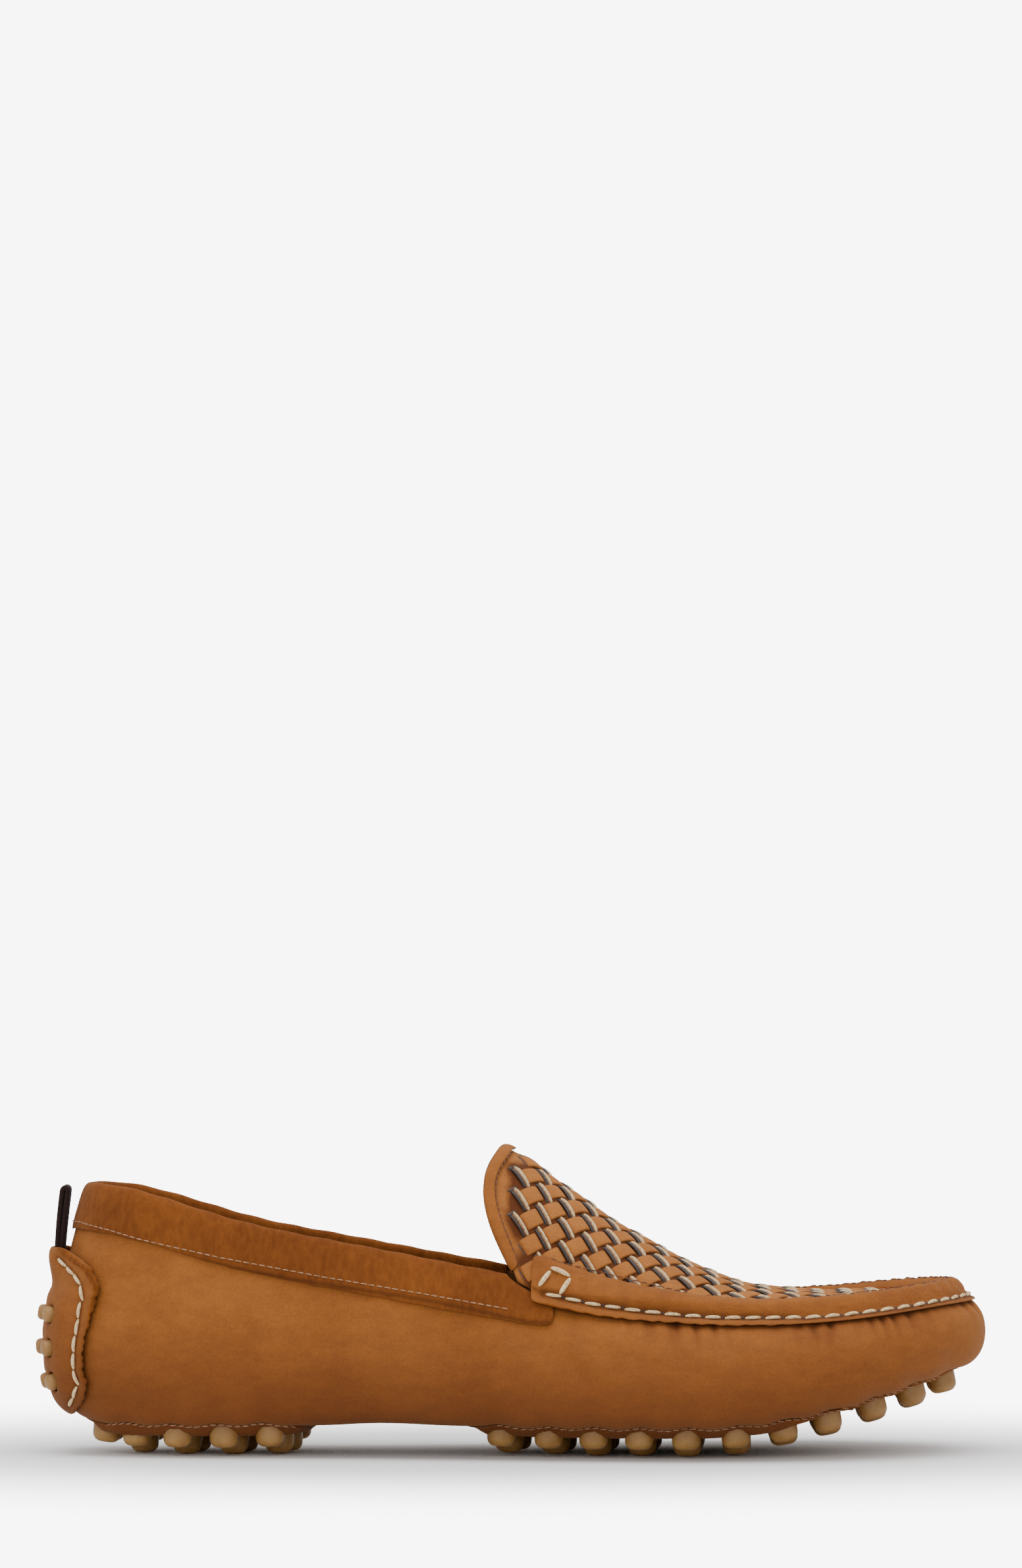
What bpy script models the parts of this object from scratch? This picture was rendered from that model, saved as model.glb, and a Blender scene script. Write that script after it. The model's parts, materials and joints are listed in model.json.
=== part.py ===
"""Driving moccasin, the right shoe, standing empty on its rubber pegs.

The hammock of the upper wraps under the foot. Its sections run from the flat tread, round the
widest line, to the top edge, which is the collar behind and the apron seam in front. Every piece
that lies on it is worked out from the same section function. Metres, +X to the toe, +Z up, and
the outer side of the foot at -Y.
"""

import math
from collections import namedtuple

import bmesh
import bpy
from mathutils import Vector
from mathutils.geometry import delaunay_2d_cdt

MM = 0.001

# Driving dimensions of the shoe
BODY_LENGTH = 278.9 * MM
BALL_WIDTH = 98.0 * MM
HEEL_HEIGHT = 80.6 * MM
TONGUE_HEIGHT = 91.9 * MM
TOE_SPRING = 18.0 * MM
PEG_HEIGHT = 6.0 * MM

# Leathers, rubber and the gap where two pieces meet
UPPER_WALL = 1.8 * MM
VAMP_WALL = 1.5 * MM
COLLAR_LEATHER = 1.0 * MM
SOLE_LEATHER = 1.2 * MM
COUNTER_LEATHER = 1.6 * MM
INSOLE_THICKNESS = 3.0 * MM
PEG_SHEET = 1.0 * MM
FIT_GAP = 0.3 * MM
CURVED_GAP = 0.45 * MM
PEG_STACK = SOLE_LEATHER + PEG_SHEET + 2 * FIT_GAP
TREAD_CLEARANCE = PEG_HEIGHT + PEG_STACK
COLLAR_STACK = COLLAR_LEATHER + FIT_GAP

# Pegs
PEG_RADIUS = 0.0439 * BALL_WIDTH
PEG_SHOULDER = 2.0 * MM
EDGE_PEG_LIFT = 1.8 * MM
PEG_SIDES = 7
BACK_PEG_RADIUS = 2.5 * MM
BACK_PEG_HEIGHT = 2.6 * MM
TIP_SHARE = 0.62

# Collar band, apron roll, weave, tongue binding and pull loop
COLLAR_BAND_DEPTH = 13.4 * MM
COLLAR_FOLD_DEPTH = 7.0 * MM
FLAP_DROP = 0.4 * MM
FLANGE_WIDTH = 4.4 * MM
FLANGE_LEATHER = 1.1 * MM
ROLL_HEIGHT = 2.9 * MM
WEAVE_PITCH = 5.87 * MM
WEAVE_MARGIN = 5.0 * MM
STRIP_RISE = 1.0 * MM
STRIP_REACH = 4.5 * MM
STRIP_HALF = 2.45 * MM
VAMP_GRID = 10.0 * MM
VAMP_STEP = 0.25 * MM
RIM_LAP = 0.15 * MM
BINDING_LEATHER = 1.0 * MM
BINDING_WIDTH = 2.6 * MM
BINDING_SWELL = 0.1 * MM
LOOP_WIDTH = 12.0 * MM
LOOP_HEIGHT = 22.5 * MM
LOOP_WEBBING = 0.9 * MM
LOOP_BEND = 1.3 * MM
LOOP_TUCK = 2.5 * MM
LOOP_PLY_GAP = 0.2 * MM
LOOP_SPREAD = 0.8 * MM

# Where things lie along the body, as shares of its length from heel to toe
THROAT_STEP = 0.02
COLLAR_FOLD_END = 0.484
COLLAR_FLAP_END = 0.533
APRON_START = 0.508
TREAD_HEEL_END = 0.035
TREAD_TOE_END = 0.972
HEEL_ROUND = 0.122
TOE_ROUND = 0.185
ARCH_STATIONS = [0.262, 0.330, 0.394]
WALL_LEVELS = (0.0, 0.11, 0.24, 0.37, 0.5, 0.63, 0.76, 0.88, 1.0)

Outline = namedtuple("Outline", "along lateral medial drift tread")
OUTLINE = [
    # half-breadths and drift of the centre line are shares of the ball width, tread of the half-breadth
    Outline(0.00, 0.306, 0.306, 0.000, 0.78),
    Outline(0.11, 0.321, 0.321, 0.000, 0.76),
    Outline(0.18, 0.342, 0.332, 0.000, 0.74),
    Outline(0.27, 0.352, 0.316, 0.000, 0.66),
    Outline(0.38, 0.388, 0.321, 0.000, 0.60),
    Outline(0.49, 0.439, 0.367, 0.000, 0.66),
    Outline(0.60, 0.485, 0.439, 0.000, 0.72),
    Outline(0.67, 0.505, 0.480, 0.000, 0.74),
    Outline(0.74, 0.500, 0.495, 0.008, 0.74),
    Outline(0.81, 0.480, 0.490, 0.020, 0.72),
    Outline(0.90, 0.445, 0.455, 0.050, 0.70),
    Outline(1.00, 0.410, 0.410, 0.080, 0.68),
]

Tread = namedtuple("Tread", "along rise slant")
TREAD = [
    # rise is a share of the toe spring, slant how far a row runs forward for each step across
    Tread(0.035, 0.12, 0.00),
    Tread(0.056, 0.04, 0.05),
    Tread(0.075, 0.00, 0.12),
    Tread(0.120, 0.00, 0.22),
    Tread(0.200, 0.00, 0.22),
    Tread(0.260, 0.03, 0.22),
    Tread(0.340, 0.07, 0.22),
    Tread(0.417, 0.06, 0.22),
    Tread(0.489, 0.02, 0.20),
    Tread(0.540, 0.00, 0.14),
    Tread(0.690, 0.00, 0.05),
    Tread(0.758, 0.08, 0.02),
    Tread(0.800, 0.20, 0.00),
    Tread(0.844, 0.35, 0.00),
    Tread(0.891, 0.57, 0.00),
    Tread(0.932, 0.77, 0.00),
    Tread(0.955, 0.86, 0.00),
    Tread(0.972, 0.94, 0.00),
]

Edge = namedtuple("Edge", "along height")
COLLAR = [
    # heights are shares of the heel height
    Edge(0.000, 1.000),
    Edge(0.041, 0.998),
    Edge(0.077, 0.978),
    Edge(0.104, 0.953),
    Edge(0.148, 0.908),
    Edge(0.209, 0.851),
    Edge(0.292, 0.802),
    Edge(0.360, 0.760),
    Edge(0.432, 0.713),
    Edge(0.489, 0.680),
    Edge(0.520, 0.665),
]
SEAM = [
    Edge(0.440, 0.640),
    Edge(0.518, 0.609),
    Edge(0.536, 0.588),
    Edge(0.561, 0.567),
    Edge(0.597, 0.547),
    Edge(0.650, 0.530),
    Edge(0.697, 0.514),
    Edge(0.751, 0.509),
    Edge(0.794, 0.515),
    Edge(0.837, 0.521),
    Edge(0.880, 0.536),
    Edge(0.918, 0.553),
    Edge(0.955, 0.569),
    Edge(1.000, 0.579),
]
INSTEP = [
    # heights of the vamp's middle line are shares of the tongue height
    Edge(0.440, 1.010),
    Edge(0.482, 1.000),
    Edge(0.506, 0.969),
    Edge(0.541, 0.890),
    Edge(0.576, 0.813),
    Edge(0.611, 0.740),
    Edge(0.647, 0.679),
    Edge(0.682, 0.623),
    Edge(0.717, 0.575),
    Edge(0.753, 0.547),
    Edge(0.788, 0.533),
    Edge(0.823, 0.528),
    Edge(0.858, 0.526),
    Edge(0.901, 0.526),
    Edge(0.937, 0.528),
    Edge(1.000, 0.536),
]

Wall = namedtuple("Wall", "along widest fullness inset")
WALL = [
    # widest and fullness are shares of the wall's height, inset a share of the ball width
    Wall(0.00, 0.34, 0.25, 0.100),
    Wall(0.15, 0.36, 0.48, 0.070),
    Wall(0.45, 0.33, 0.50, 0.060),
    Wall(0.52, 0.35, 0.60, 0.070),
    Wall(0.60, 0.38, 0.68, 0.100),
    Wall(0.70, 0.41, 0.72, 0.120),
    Wall(0.80, 0.43, 0.74, 0.112),
    Wall(0.90, 0.48, 0.76, 0.092),
    Wall(1.00, 0.53, 0.76, 0.077),
]

Roll = namedtuple("Roll", "along width")
ROLL = [
    # width of the apron roll over the vamp, as a share of the flange's
    Roll(0.508, 2.60),
    Roll(0.560, 2.20),
    Roll(0.620, 1.80),
    Roll(0.700, 1.60),
    Roll(1.000, 1.55),
]

TongueEdge = namedtuple("TongueEdge", "along share")
TONGUE_EDGE = [
    # along runs from the middle line (0) to the seam (1), and share is the body length's
    TongueEdge(0.00, 0.4835),
    TongueEdge(0.30, 0.4760),
    TongueEdge(0.62, 0.4620),
    TongueEdge(0.80, 0.4690),
    TongueEdge(1.00, 0.4960),
]
TONGUE_STEPS = (0.0, 0.10, 0.20, 0.31, 0.43, 0.55, 0.68, 0.81, 0.91, 0.97)
VAMP_CROWN = 2.3
EDGE_REACH = 1.02

HeelRow = namedtuple("HeelRow", "height angle")
COUNTER = [
    # height is a share of the heel height, angle half of the spread round the heel, in degrees
    HeelRow(0.160, 22),
    HeelRow(0.205, 39),
    HeelRow(0.262, 46),
    HeelRow(0.310, 43),
    HeelRow(0.370, 45),
    HeelRow(0.430, 46),
    HeelRow(0.500, 49),
    HeelRow(0.560, 51),
    HeelRow(0.615, 53),
    HeelRow(0.660, 50),
    HeelRow(0.705, 41),
    HeelRow(0.740, 26),
]
BACK_SHEET = [
    HeelRow(0.215, 18),
    HeelRow(0.250, 28),
    HeelRow(0.325, 29),
    HeelRow(0.400, 29),
    HeelRow(0.475, 29),
    HeelRow(0.545, 28),
    HeelRow(0.570, 19),
]
BackPegs = namedtuple("BackPegs", "height size")
BACK_PEGS = [
    # size is a share of the back pegs' radius
    BackPegs(0.510, 1.00),
    BackPegs(0.393, 1.00),
    BackPegs(0.276, 1.10),
]
BACK_PEG_ANGLES = (-19.5, 0.0, 19.5)
HEEL_COLUMNS = (-40, -27, -14, 0, 14, 27, 40)
HeelSpots = namedtuple("HeelSpots", "height angles")
COUNTER_SPOTS = [
    # where the counter's faces meet the lines of the upper under it
    HeelSpots(0.310, HEEL_COLUMNS),
    HeelSpots(0.500, HEEL_COLUMNS),
    HeelSpots(0.615, HEEL_COLUMNS),
    HeelSpots(0.660, (-33, 33)),
    HeelSpots(0.700, (-22, -12, 0, 12, 22)),
]
BACK_SHEET_SPOTS = [HeelSpots(0.32, HEEL_COLUMNS[2:5]), HeelSpots(0.45, HEEL_COLUMNS[2:5])]
SHEET_CREST = 0.4 * MM
HEEL_SCALE = (0.033, 1.0)
LOOP_POCKET = 3.9 * MM
LOOP_POCKET_ANGLE = 13.0
LOOP_POCKET_RISE = (0.60, 0.70)

PegRow = namedtuple("PegRow", "along count reach")
HEEL_PEGS = [
    # reach is the share of the tread's breadth that the middles of a row's pegs span
    PegRow(0.058, 2, 0.345),
    PegRow(0.087, 3, 0.57),
    PegRow(0.131, 4, 0.73),
    PegRow(0.180, 4, 0.73),
    PegRow(0.228, 4, 0.70),
]
FOREFOOT_PEGS = [
    PegRow(0.474, 4, 0.72),
    PegRow(0.525, 4, 0.75),
    PegRow(0.573, 5, 0.77),
    PegRow(0.622, 5, 0.79),
    PegRow(0.672, 6, 0.80),
    PegRow(0.724, 6, 0.80),
    PegRow(0.774, 6, 0.79),
    PegRow(0.821, 5, 0.79),
    PegRow(0.869, 4, 0.74),
    PegRow(0.912, 3, 0.65),
    PegRow(0.947, 2, 0.34),
]
SOLE_CORNER = 3.0 * MM

Sole = namedtuple("Sole", "name rows patch over sheet cuts")
SOLES = [
    # the shares between which the patch lies, where it passes over the sheet, and the sheet
    Sole("heel", HEEL_PEGS, (0.0370, 0.264), (0.0398, 0.2570), (0.0415, 0.2545), (0, 1)),
    Sole("forefoot", FOREFOOT_PEGS, (0.4400, 0.969), (0.4465, 0.9662), (0.4490, 0.9645), (1, 0)),
]
PATCH_INSET = 0.3 * MM
OVER_INSET = 0.9 * MM
SHEET_INSET = 1.6 * MM

Material = namedtuple("Material", "colour roughness")
NUBUCK = Material((0.35, 0.155, 0.055, 1), 0.85)
SUEDE = Material((0.30, 0.11, 0.03, 1), 0.95)
RUBBER = Material((0.50, 0.29, 0.09, 1), 0.45)
WEBBING = Material((0.045, 0.022, 0.018, 1), 0.9)
LINING = Material((0.30, 0.15, 0.07, 1), 0.8)

LATERAL, MEDIAL = -1, 1
TINY = 1e-4
TREAD_SCALE = (BODY_LENGTH, 0.36 * BALL_WIDTH)


def between(table, column, along):
    """A smooth curve through one column of a table, with no overshoot, at a share along."""
    rows = [(row.along, getattr(row, column)) for row in table]
    if along <= rows[0][0]:
        return rows[0][1]
    if along >= rows[-1][0]:
        return rows[-1][1]
    slopes = [(b[1] - a[1]) / (b[0] - a[0]) for a, b in zip(rows, rows[1:])]
    tangents = [slopes[0]]
    for before, after in zip(slopes, slopes[1:]):
        tangents.append(0 if before * after <= 0 else 2 * before * after / (before + after))
    tangents.append(slopes[-1])
    k = max(i for i in range(len(rows) - 1) if rows[i][0] <= along)
    (x0, y0), (x1, y1) = rows[k], rows[k + 1]
    step = x1 - x0
    t = (along - x0) / step
    return (
        y0 * (1 + 2 * t) * (1 - t) ** 2
        + tangents[k] * step * t * (1 - t) ** 2
        + y1 * t * t * (3 - 2 * t)
        + tangents[k + 1] * step * t * t * (t - 1)
    )


def ease(low, high, value):
    """0 below low, 1 above high, and smooth between."""
    t = min(1, max(0, (value - low) / (high - low)))
    return t * t * (3 - 2 * t)


def solve(function, low, high, wanted):
    """Where a rising function reaches the wanted value."""
    for _ in range(40):
        middle = (low + high) / 2
        if function(middle) < wanted:
            low = middle
        else:
            high = middle
    return (low + high) / 2


def end_round(along, heel_end, toe_end):
    """How far the breadth has opened at a share between two round ends, from 0 to 1."""
    behind = max(0, (heel_end + HEEL_ROUND - along) / HEEL_ROUND)
    ahead = max(0, (along - toe_end + TOE_ROUND) / TOE_ROUND)
    return math.sqrt(max(0, 1 - min(1, behind) ** 2)) * max(0, 1 - min(1, ahead) ** 2.2) ** 0.5


def centre_y(share):
    return between(OUTLINE, "drift", share) * BALL_WIDTH


def half_breadth(side, share):
    column = "lateral" if side == LATERAL else "medial"
    return between(OUTLINE, column, share) * BALL_WIDTH


def tread_half(side, share):
    part = between(OUTLINE, "tread", share)
    return half_breadth(side, share) * part * end_round(share, TREAD_HEEL_END, TREAD_TOE_END)


def side_share(side, along):
    """Where a line across the tread that starts at this share on the lateral side ends on a side."""
    if side == LATERAL:
        return along
    across = tread_half(LATERAL, along) + tread_half(MEDIAL, along)
    return along + between(TREAD, "slant", along) * across / BODY_LENGTH


def outline_share(share):
    """The share of the whole outline that belongs to a share of the shorter tread."""
    return (share - TREAD_HEEL_END) / (TREAD_TOE_END - TREAD_HEEL_END)


def station_at(side, share):
    """The line across the tread whose wall stands at a share of the outline, on a side."""
    return solve(
        lambda along: outline_share(side_share(side, along)), TREAD_HEEL_END, TREAD_TOE_END, share
    )


def tread_point(side, along):
    here = side_share(side, along)
    y = centre_y(here) + side * tread_half(side, here)
    z = TREAD_CLEARANCE + between(TREAD, "rise", along) * TOE_SPRING
    return Vector((here * BODY_LENGTH, y, z))


def outline_point(side, along):
    here = outline_share(side_share(side, along))
    y = centre_y(here) + side * half_breadth(side, here) * end_round(here, 0, 1)
    return Vector((here * BODY_LENGTH, y, 0))


def collar_height(share):
    return between(COLLAR, "height", share) * HEEL_HEIGHT - COLLAR_STACK


def top_height(share):
    """The height of the upper's edge: the collar, then a short step down to the apron seam."""
    ahead = between(SEAM, "height", share) * HEEL_HEIGHT
    return collar_height(share) + (ahead - collar_height(share)) * ease(
        COLLAR_FOLD_END, COLLAR_FOLD_END + THROAT_STEP, share
    )


def wall_point(side, along, v):
    """A point of the upper's outer face: v 0 at the tread's edge, 0.5 at the widest line, 1 on top."""
    share = outline_share(side_share(side, along))
    low, wide = tread_point(side, along), outline_point(side, along)
    top_z = top_height(share)
    wide.z = low.z + between(WALL, "widest", share) * (top_z - low.z)
    if v <= 0.5:
        turn = v * math.pi
        flat = low.lerp(wide, math.sin(turn))
        return Vector((flat.x, flat.y, low.z + (wide.z - low.z) * (1 - math.cos(turn))))
    inward = Vector((low.x - wide.x, low.y - wide.y, 0)).normalized()
    top = wide + inward * between(WALL, "inset", share) * BALL_WIDTH
    top.z = top_z
    bulge = Vector((wide.x, wide.y, wide.z + between(WALL, "fullness", share) * (top_z - wide.z)))
    t = 2 * v - 1
    return wide * (1 - t) ** 2 + bulge * 2 * t * (1 - t) + top * t * t


def wall_normal(side, along, v):
    """The outward direction of the wall."""
    step = 0.002
    low, high = max(TREAD_HEEL_END, along - step), min(TREAD_TOE_END, along + step)
    forward = wall_point(side, high, v) - wall_point(side, low, v)
    if along - TREAD_HEEL_END < TINY:
        forward = (wall_point(MEDIAL, high, v) - wall_point(LATERAL, high, v)) * side
    if TREAD_TOE_END - along < TINY:
        forward = (wall_point(LATERAL, low, v) - wall_point(MEDIAL, low, v)) * side
    upward = wall_point(side, along, min(1, v + 0.01)) - wall_point(side, along, max(0, v - 0.01))
    return (upward.cross(forward) * side).normalized()


def wall_at(side, along, v, out):
    return wall_point(side, along, v) + wall_normal(side, along, v) * out


def below_top(side, along, drop):
    """The v of the point that lies this far below the top edge, along the wall."""
    if drop <= 0:
        return 1
    walked, last = 0.0, wall_point(side, along, 1)
    for k in range(1, 101):
        v = 1 - k / 200
        here = wall_point(side, along, v)
        walked += (here - last).length
        if walked >= drop:
            return v
        last = here
    return 0.5


def station_shares():
    """Where the upper's sections lie: between the peg rows, with closer ones round each end."""
    found = [TREAD_HEEL_END, TREAD_TOE_END]
    found += [TREAD_HEEL_END + HEEL_ROUND * (1 - math.cos(math.radians(a))) for a in (14, 27)]
    found += [TREAD_TOE_END - TOE_ROUND * (1 - math.cos(math.radians(a))) for a in (24, 13)]
    for pegs in (HEEL_PEGS, FOREFOOT_PEGS):
        rows = [row.along for row in pegs]
        found += [(a + b) / 2 for a, b in zip(rows, rows[1:]) if a != FOREFOOT_PEGS[0].along]
    for share in (COLLAR_FOLD_END, COLLAR_FOLD_END + THROAT_STEP):
        found += [station_at(side, share) for side in (LATERAL, MEDIAL)]
    return sorted(found + ARCH_STATIONS)


STATIONS = station_shares()


def tread_face(along, across):
    """The flat underside of the hammock: across is -1 at the lateral edge and 1 at the medial."""
    k = max(i for i in range(len(STATIONS) - 1) if STATIONS[i] <= max(along, STATIONS[0]))
    a, b = STATIONS[k], STATIONS[k + 1]
    t = (along - a) / (b - a)
    edges = [tread_point(side, a).lerp(tread_point(side, b), t) for side in (LATERAL, MEDIAL)]
    return edges[0].lerp(edges[1], (1 + across) / 2)


def heel_face(angle, height):
    """The back of the upper: the angle is 0 in the middle and grows to the medial side."""
    side = LATERAL if angle < 0 else MEDIAL
    along = TREAD_HEEL_END + HEEL_ROUND * (1 - math.cos(angle))
    v = solve(lambda v: wall_point(side, along, v).z, 0, 1, height)
    return wall_point(side, along, v)


def lifted(face, u, w, out):
    """The point this far out of a face, along the face's normal."""
    du = face(u + TINY, w) - face(u - TINY, w)
    dw = face(u, w + TINY) - face(u, w - TINY)
    return face(u, w) + dw.cross(du).normalized() * out


def disc(face, u, w, radius):
    """Corners, in the face's own coordinates, of a round spot on it."""
    du = (face(u + TINY, w) - face(u - TINY, w)) / (2 * TINY)
    dw = (face(u, w + TINY) - face(u, w - TINY)) / (2 * TINY)
    one = du.normalized()
    two = dw.cross(du).normalized().cross(one)
    corners = []
    for k in range(PEG_SIDES):
        turn = 2 * math.pi * (k + 0.5) / PEG_SIDES
        step_w = radius * math.sin(turn) / dw.dot(two)
        step_u = (radius * math.cos(turn) - step_w * dw.dot(one)) / du.length
        corners.append((u + step_u, w + step_w))
    return corners


def inside(loop, u, w):
    """Whether a point lies inside a loop of corners."""
    found = False
    for (u0, w0), (u1, w1) in zip(loop, loop[1:] + loop[:1]):
        if (w0 > w) != (w1 > w) and u < u0 + (w - w0) / (w1 - w0) * (u1 - u0):
            found = not found
    return found


def triangles_over(loops, scale, holes):
    """Corners and triangles that fill the first loop, meet every line and leave the holes open."""
    corners, edges = [], []
    for loop in loops:
        first, count = len(corners), len(loop)
        corners += loop
        edges += [(first + k, first + (k + 1) % count) for k in range(count) if count > 1]
    plan = [Vector((u * scale[0], w * scale[1])) for u, w in corners]
    made = delaunay_2d_cdt(plan, edges, [], 0, 1e-7)
    old = [ids[0] if ids else None for ids in made[3]]
    if None in old:
        places = [made[0][k] for k, number in enumerate(old) if number is None]
        found = [(round(p.x / scale[0], 4), round(p.y / scale[1], 4)) for p in places]
        raise ValueError(f"lines of a sheet cross at {found}")
    kept = []
    for triangle in made[2]:
        ids = [old[k] for k in triangle]
        u, w = (sum(corners[k][axis] for k in ids) / 3 for axis in (0, 1))
        if inside(loops[0], u, w) and not any(inside(hole, u, w) for hole in holes):
            kept.append(ids)
    return corners, kept


def object_from(name, material, mesh):
    """A named object from a bmesh, with its faces turned outwards."""
    bmesh.ops.recalc_face_normals(mesh, faces=mesh.faces)
    data = bpy.data.meshes.new(name)
    mesh.to_mesh(data)
    mesh.free()
    data.shade_smooth()
    data.set_sharp_from_angle(angle=math.radians(42))
    slot = bpy.data.materials.new(name)
    slot.use_nodes = True
    shader = slot.node_tree.nodes["Principled BSDF"]
    shader.inputs["Base Color"].default_value = material.colour
    shader.inputs["Roughness"].default_value = material.roughness
    shader.inputs["Metallic"].default_value = 0
    data.materials.append(slot)
    made = bpy.data.objects.new(name, data)
    bpy.context.scene.collection.objects.link(made)
    return made


def loft(mesh, rings, closed):
    """Quads between successive rings of vertices."""
    for a, b in zip(rings, rings[1:]):
        count = len(a) if closed else len(a) - 1
        for k in range(count):
            n = (k + 1) % len(a)
            mesh.faces.new((a[k], a[n], b[n], b[k]))


def vertices(mesh, points):
    return [mesh.verts.new(point) for point in points]


def bar(name, material, sections):
    """A solid through closed sections, with flat ends."""
    mesh = bmesh.new()
    rings = [vertices(mesh, section) for section in sections]
    loft(mesh, rings, True)
    mesh.faces.new(rings[0])
    mesh.faces.new(rings[-1])
    return object_from(name, material, mesh)


Peg = namedtuple("Peg", "u w radius height")
Skin = namedtuple("Skin", "out lines")


def sheet(name, material, face, scale, outline, under, over, holes=(), pegs=()):
    """A sheet over an outline between two skins, each so far out of the face, holed or pegged."""
    mesh = bmesh.new()
    open_discs = [disc(face, *hole) for hole in holes]
    all_discs = open_discs + [disc(face, peg.u, peg.w, peg.radius) for peg in pegs]
    rims = []
    for skin, discs in ((under, open_discs), (over, all_discs)):
        lines = [
            line
            for line in skin.lines
            if len(line) > 1 or not any(inside(ring, *line[0]) for ring in all_discs)
        ]
        corners, triangles = triangles_over([outline] + discs + lines, scale, discs)
        made = vertices(mesh, [lifted(face, u, w, skin.out(u, w)) for u, w in corners])
        for ids in triangles:
            mesh.faces.new([made[k] for k in ids])
        rims.append([made[: len(outline)]])
        for k in range(len(discs)):
            start = len(outline) + k * PEG_SIDES
            rims[-1].append(made[start : start + PEG_SIDES])
    for below, above in zip(rims[0], rims[1]):
        loft(mesh, [below, above], True)
    for peg, ring in zip(pegs, rims[1][1 + len(holes) :]):
        add_peg(mesh, face, peg, over.out(peg.u, peg.w), ring)
    for vertex in [vertex for vertex in mesh.verts if not vertex.link_faces]:
        mesh.verts.remove(vertex)
    return object_from(name, material, mesh)


def add_peg(mesh, face, peg, base, ring):
    """A peg from its ring on the sheet to its narrower flat tip."""
    up = lifted(face, peg.u, peg.w, 1) - face(peg.u, peg.w)
    tall = peg.height - base
    shoulder = tall - PEG_SHOULDER * peg.radius / PEG_RADIUS
    for height, radius in ((shoulder, peg.radius), (tall, peg.radius * TIP_SHARE)):
        corners = disc(face, peg.u, peg.w, radius)
        points = [lifted(face, u, w, base) + up * height for u, w in corners]
        following = vertices(mesh, points)
        loft(mesh, [ring, following], True)
        ring = following
    mesh.faces.new(ring)


def ring_stations():
    """Every section of the wall in turn, round the shoe from the heel by the lateral side."""
    return [(LATERAL, s) for s in STATIONS] + [(MEDIAL, s) for s in reversed(STATIONS[1:-1])]


def build_upper():
    mesh = bmesh.new()
    path = ring_stations()
    outer = [vertices(mesh, [wall_point(*at, v) for at in path]) for v in WALL_LEVELS]
    inner = []
    for v in WALL_LEVELS:
        points = [wall_at(*at, v, -UPPER_WALL) for at in path]
        if v in (WALL_LEVELS[0], WALL_LEVELS[-1]):
            lift = UPPER_WALL if v == WALL_LEVELS[0] else 0
            for point, at in zip(points, path):
                edge = wall_point(*at, v)
                point.z = edge.z + lift
                if lift:
                    point.x, point.y = edge.x, edge.y
        inner.append(vertices(mesh, points))
    loft(mesh, outer, True)
    loft(mesh, inner, True)
    loft(mesh, [outer[-1], inner[-1]], True)
    last = len(STATIONS) - 1
    for ring in (outer[0], inner[0]):
        lateral = ring[: last + 1]
        medial = [ring[0]] + ring[:last:-1] + [ring[last]]
        for k in range(last):
            corners = [lateral[k], lateral[k + 1], medial[k + 1], medial[k]]
            mesh.faces.new(list(dict.fromkeys(corners)))
    return object_from("upper", NUBUCK, mesh)


def tread_outline(span, inset, cuts=(0, 0)):
    """A loop on the tread between two shares, this far inside its edge, with square ends cut."""
    def across(along, less):
        return 1 - less * 2 / (tread_face(along, 1) - tread_face(along, -1)).length

    cut = SOLE_CORNER / BODY_LENGTH
    first, last = span[0] + cut * cuts[0], span[1] - cut * cuts[1]
    places = [(span[0], inset + SOLE_CORNER)] * cuts[0] + [(first, inset)]
    places += [(s, inset) for s in STATIONS if first + TINY < s < last - TINY]
    places += [(last, inset)] + [(span[1], inset + SOLE_CORNER)] * cuts[1]
    lateral = [(along, -across(along, less)) for along, less in places]
    return lateral + [(along, -share) for along, share in reversed(lateral)]


def tread_spots(span, across=(-0.5, 0, 0.5)):
    return [[(s, share)] for s in STATIONS if span[0] < s < span[1] for share in across]


def build_insole():
    span = (STATIONS[1], STATIONS[-2])
    under = -UPPER_WALL - FIT_GAP
    sheet(
        "insole",
        LINING,
        tread_face,
        TREAD_SCALE,
        tread_outline(span, PATCH_INSET),
        Skin(lambda u, w: under - INSOLE_THICKNESS, tread_spots(span, (0,))),
        Skin(lambda u, w: under, tread_spots(span, (0,))),
    )


def peg_places(rows):
    """Each peg's place on the tread, with those at the edges shorter."""
    found = []
    for row in rows:
        for k in range(row.count):
            across = row.reach * (2 * k / (row.count - 1) - 1)
            at_edge = k in (0, row.count - 1)
            height = PEG_STACK + PEG_HEIGHT - (EDGE_PEG_LIFT if at_edge else 0)
            found.append(Peg(row.along, across, PEG_RADIUS, height))
    return found


def build_pegged_sole(sole):
    """A rubber sheet with its pegs, and the leather sole patch that they come through."""
    pegs = peg_places(sole.rows)
    spots = tread_spots(sole.sheet)
    sheet(
        sole.name + "_pegs",
        RUBBER,
        tread_face,
        TREAD_SCALE,
        tread_outline(sole.sheet, SHEET_INSET, sole.cuts),
        Skin(lambda u, w: FIT_GAP, spots),
        Skin(lambda u, w: FIT_GAP + PEG_SHEET, spots),
        pegs=pegs,
    )
    over = tread_outline(sole.over, OVER_INSET, sole.cuts)

    def low(u, w):
        return FIT_GAP + (PEG_SHEET + FIT_GAP) * (inside(over, u, w) or (u, w) in over)

    sheet(
        sole.name + "_sole_patch",
        NUBUCK,
        tread_face,
        TREAD_SCALE,
        tread_outline(sole.patch, PATCH_INSET, sole.cuts),
        Skin(low, [over] + spots),
        Skin(lambda u, w: low(u, w) + SOLE_LEATHER, [over] + spots),
        holes=[(peg.u, peg.w, peg.radius + FIT_GAP) for peg in pegs],
    )


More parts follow.
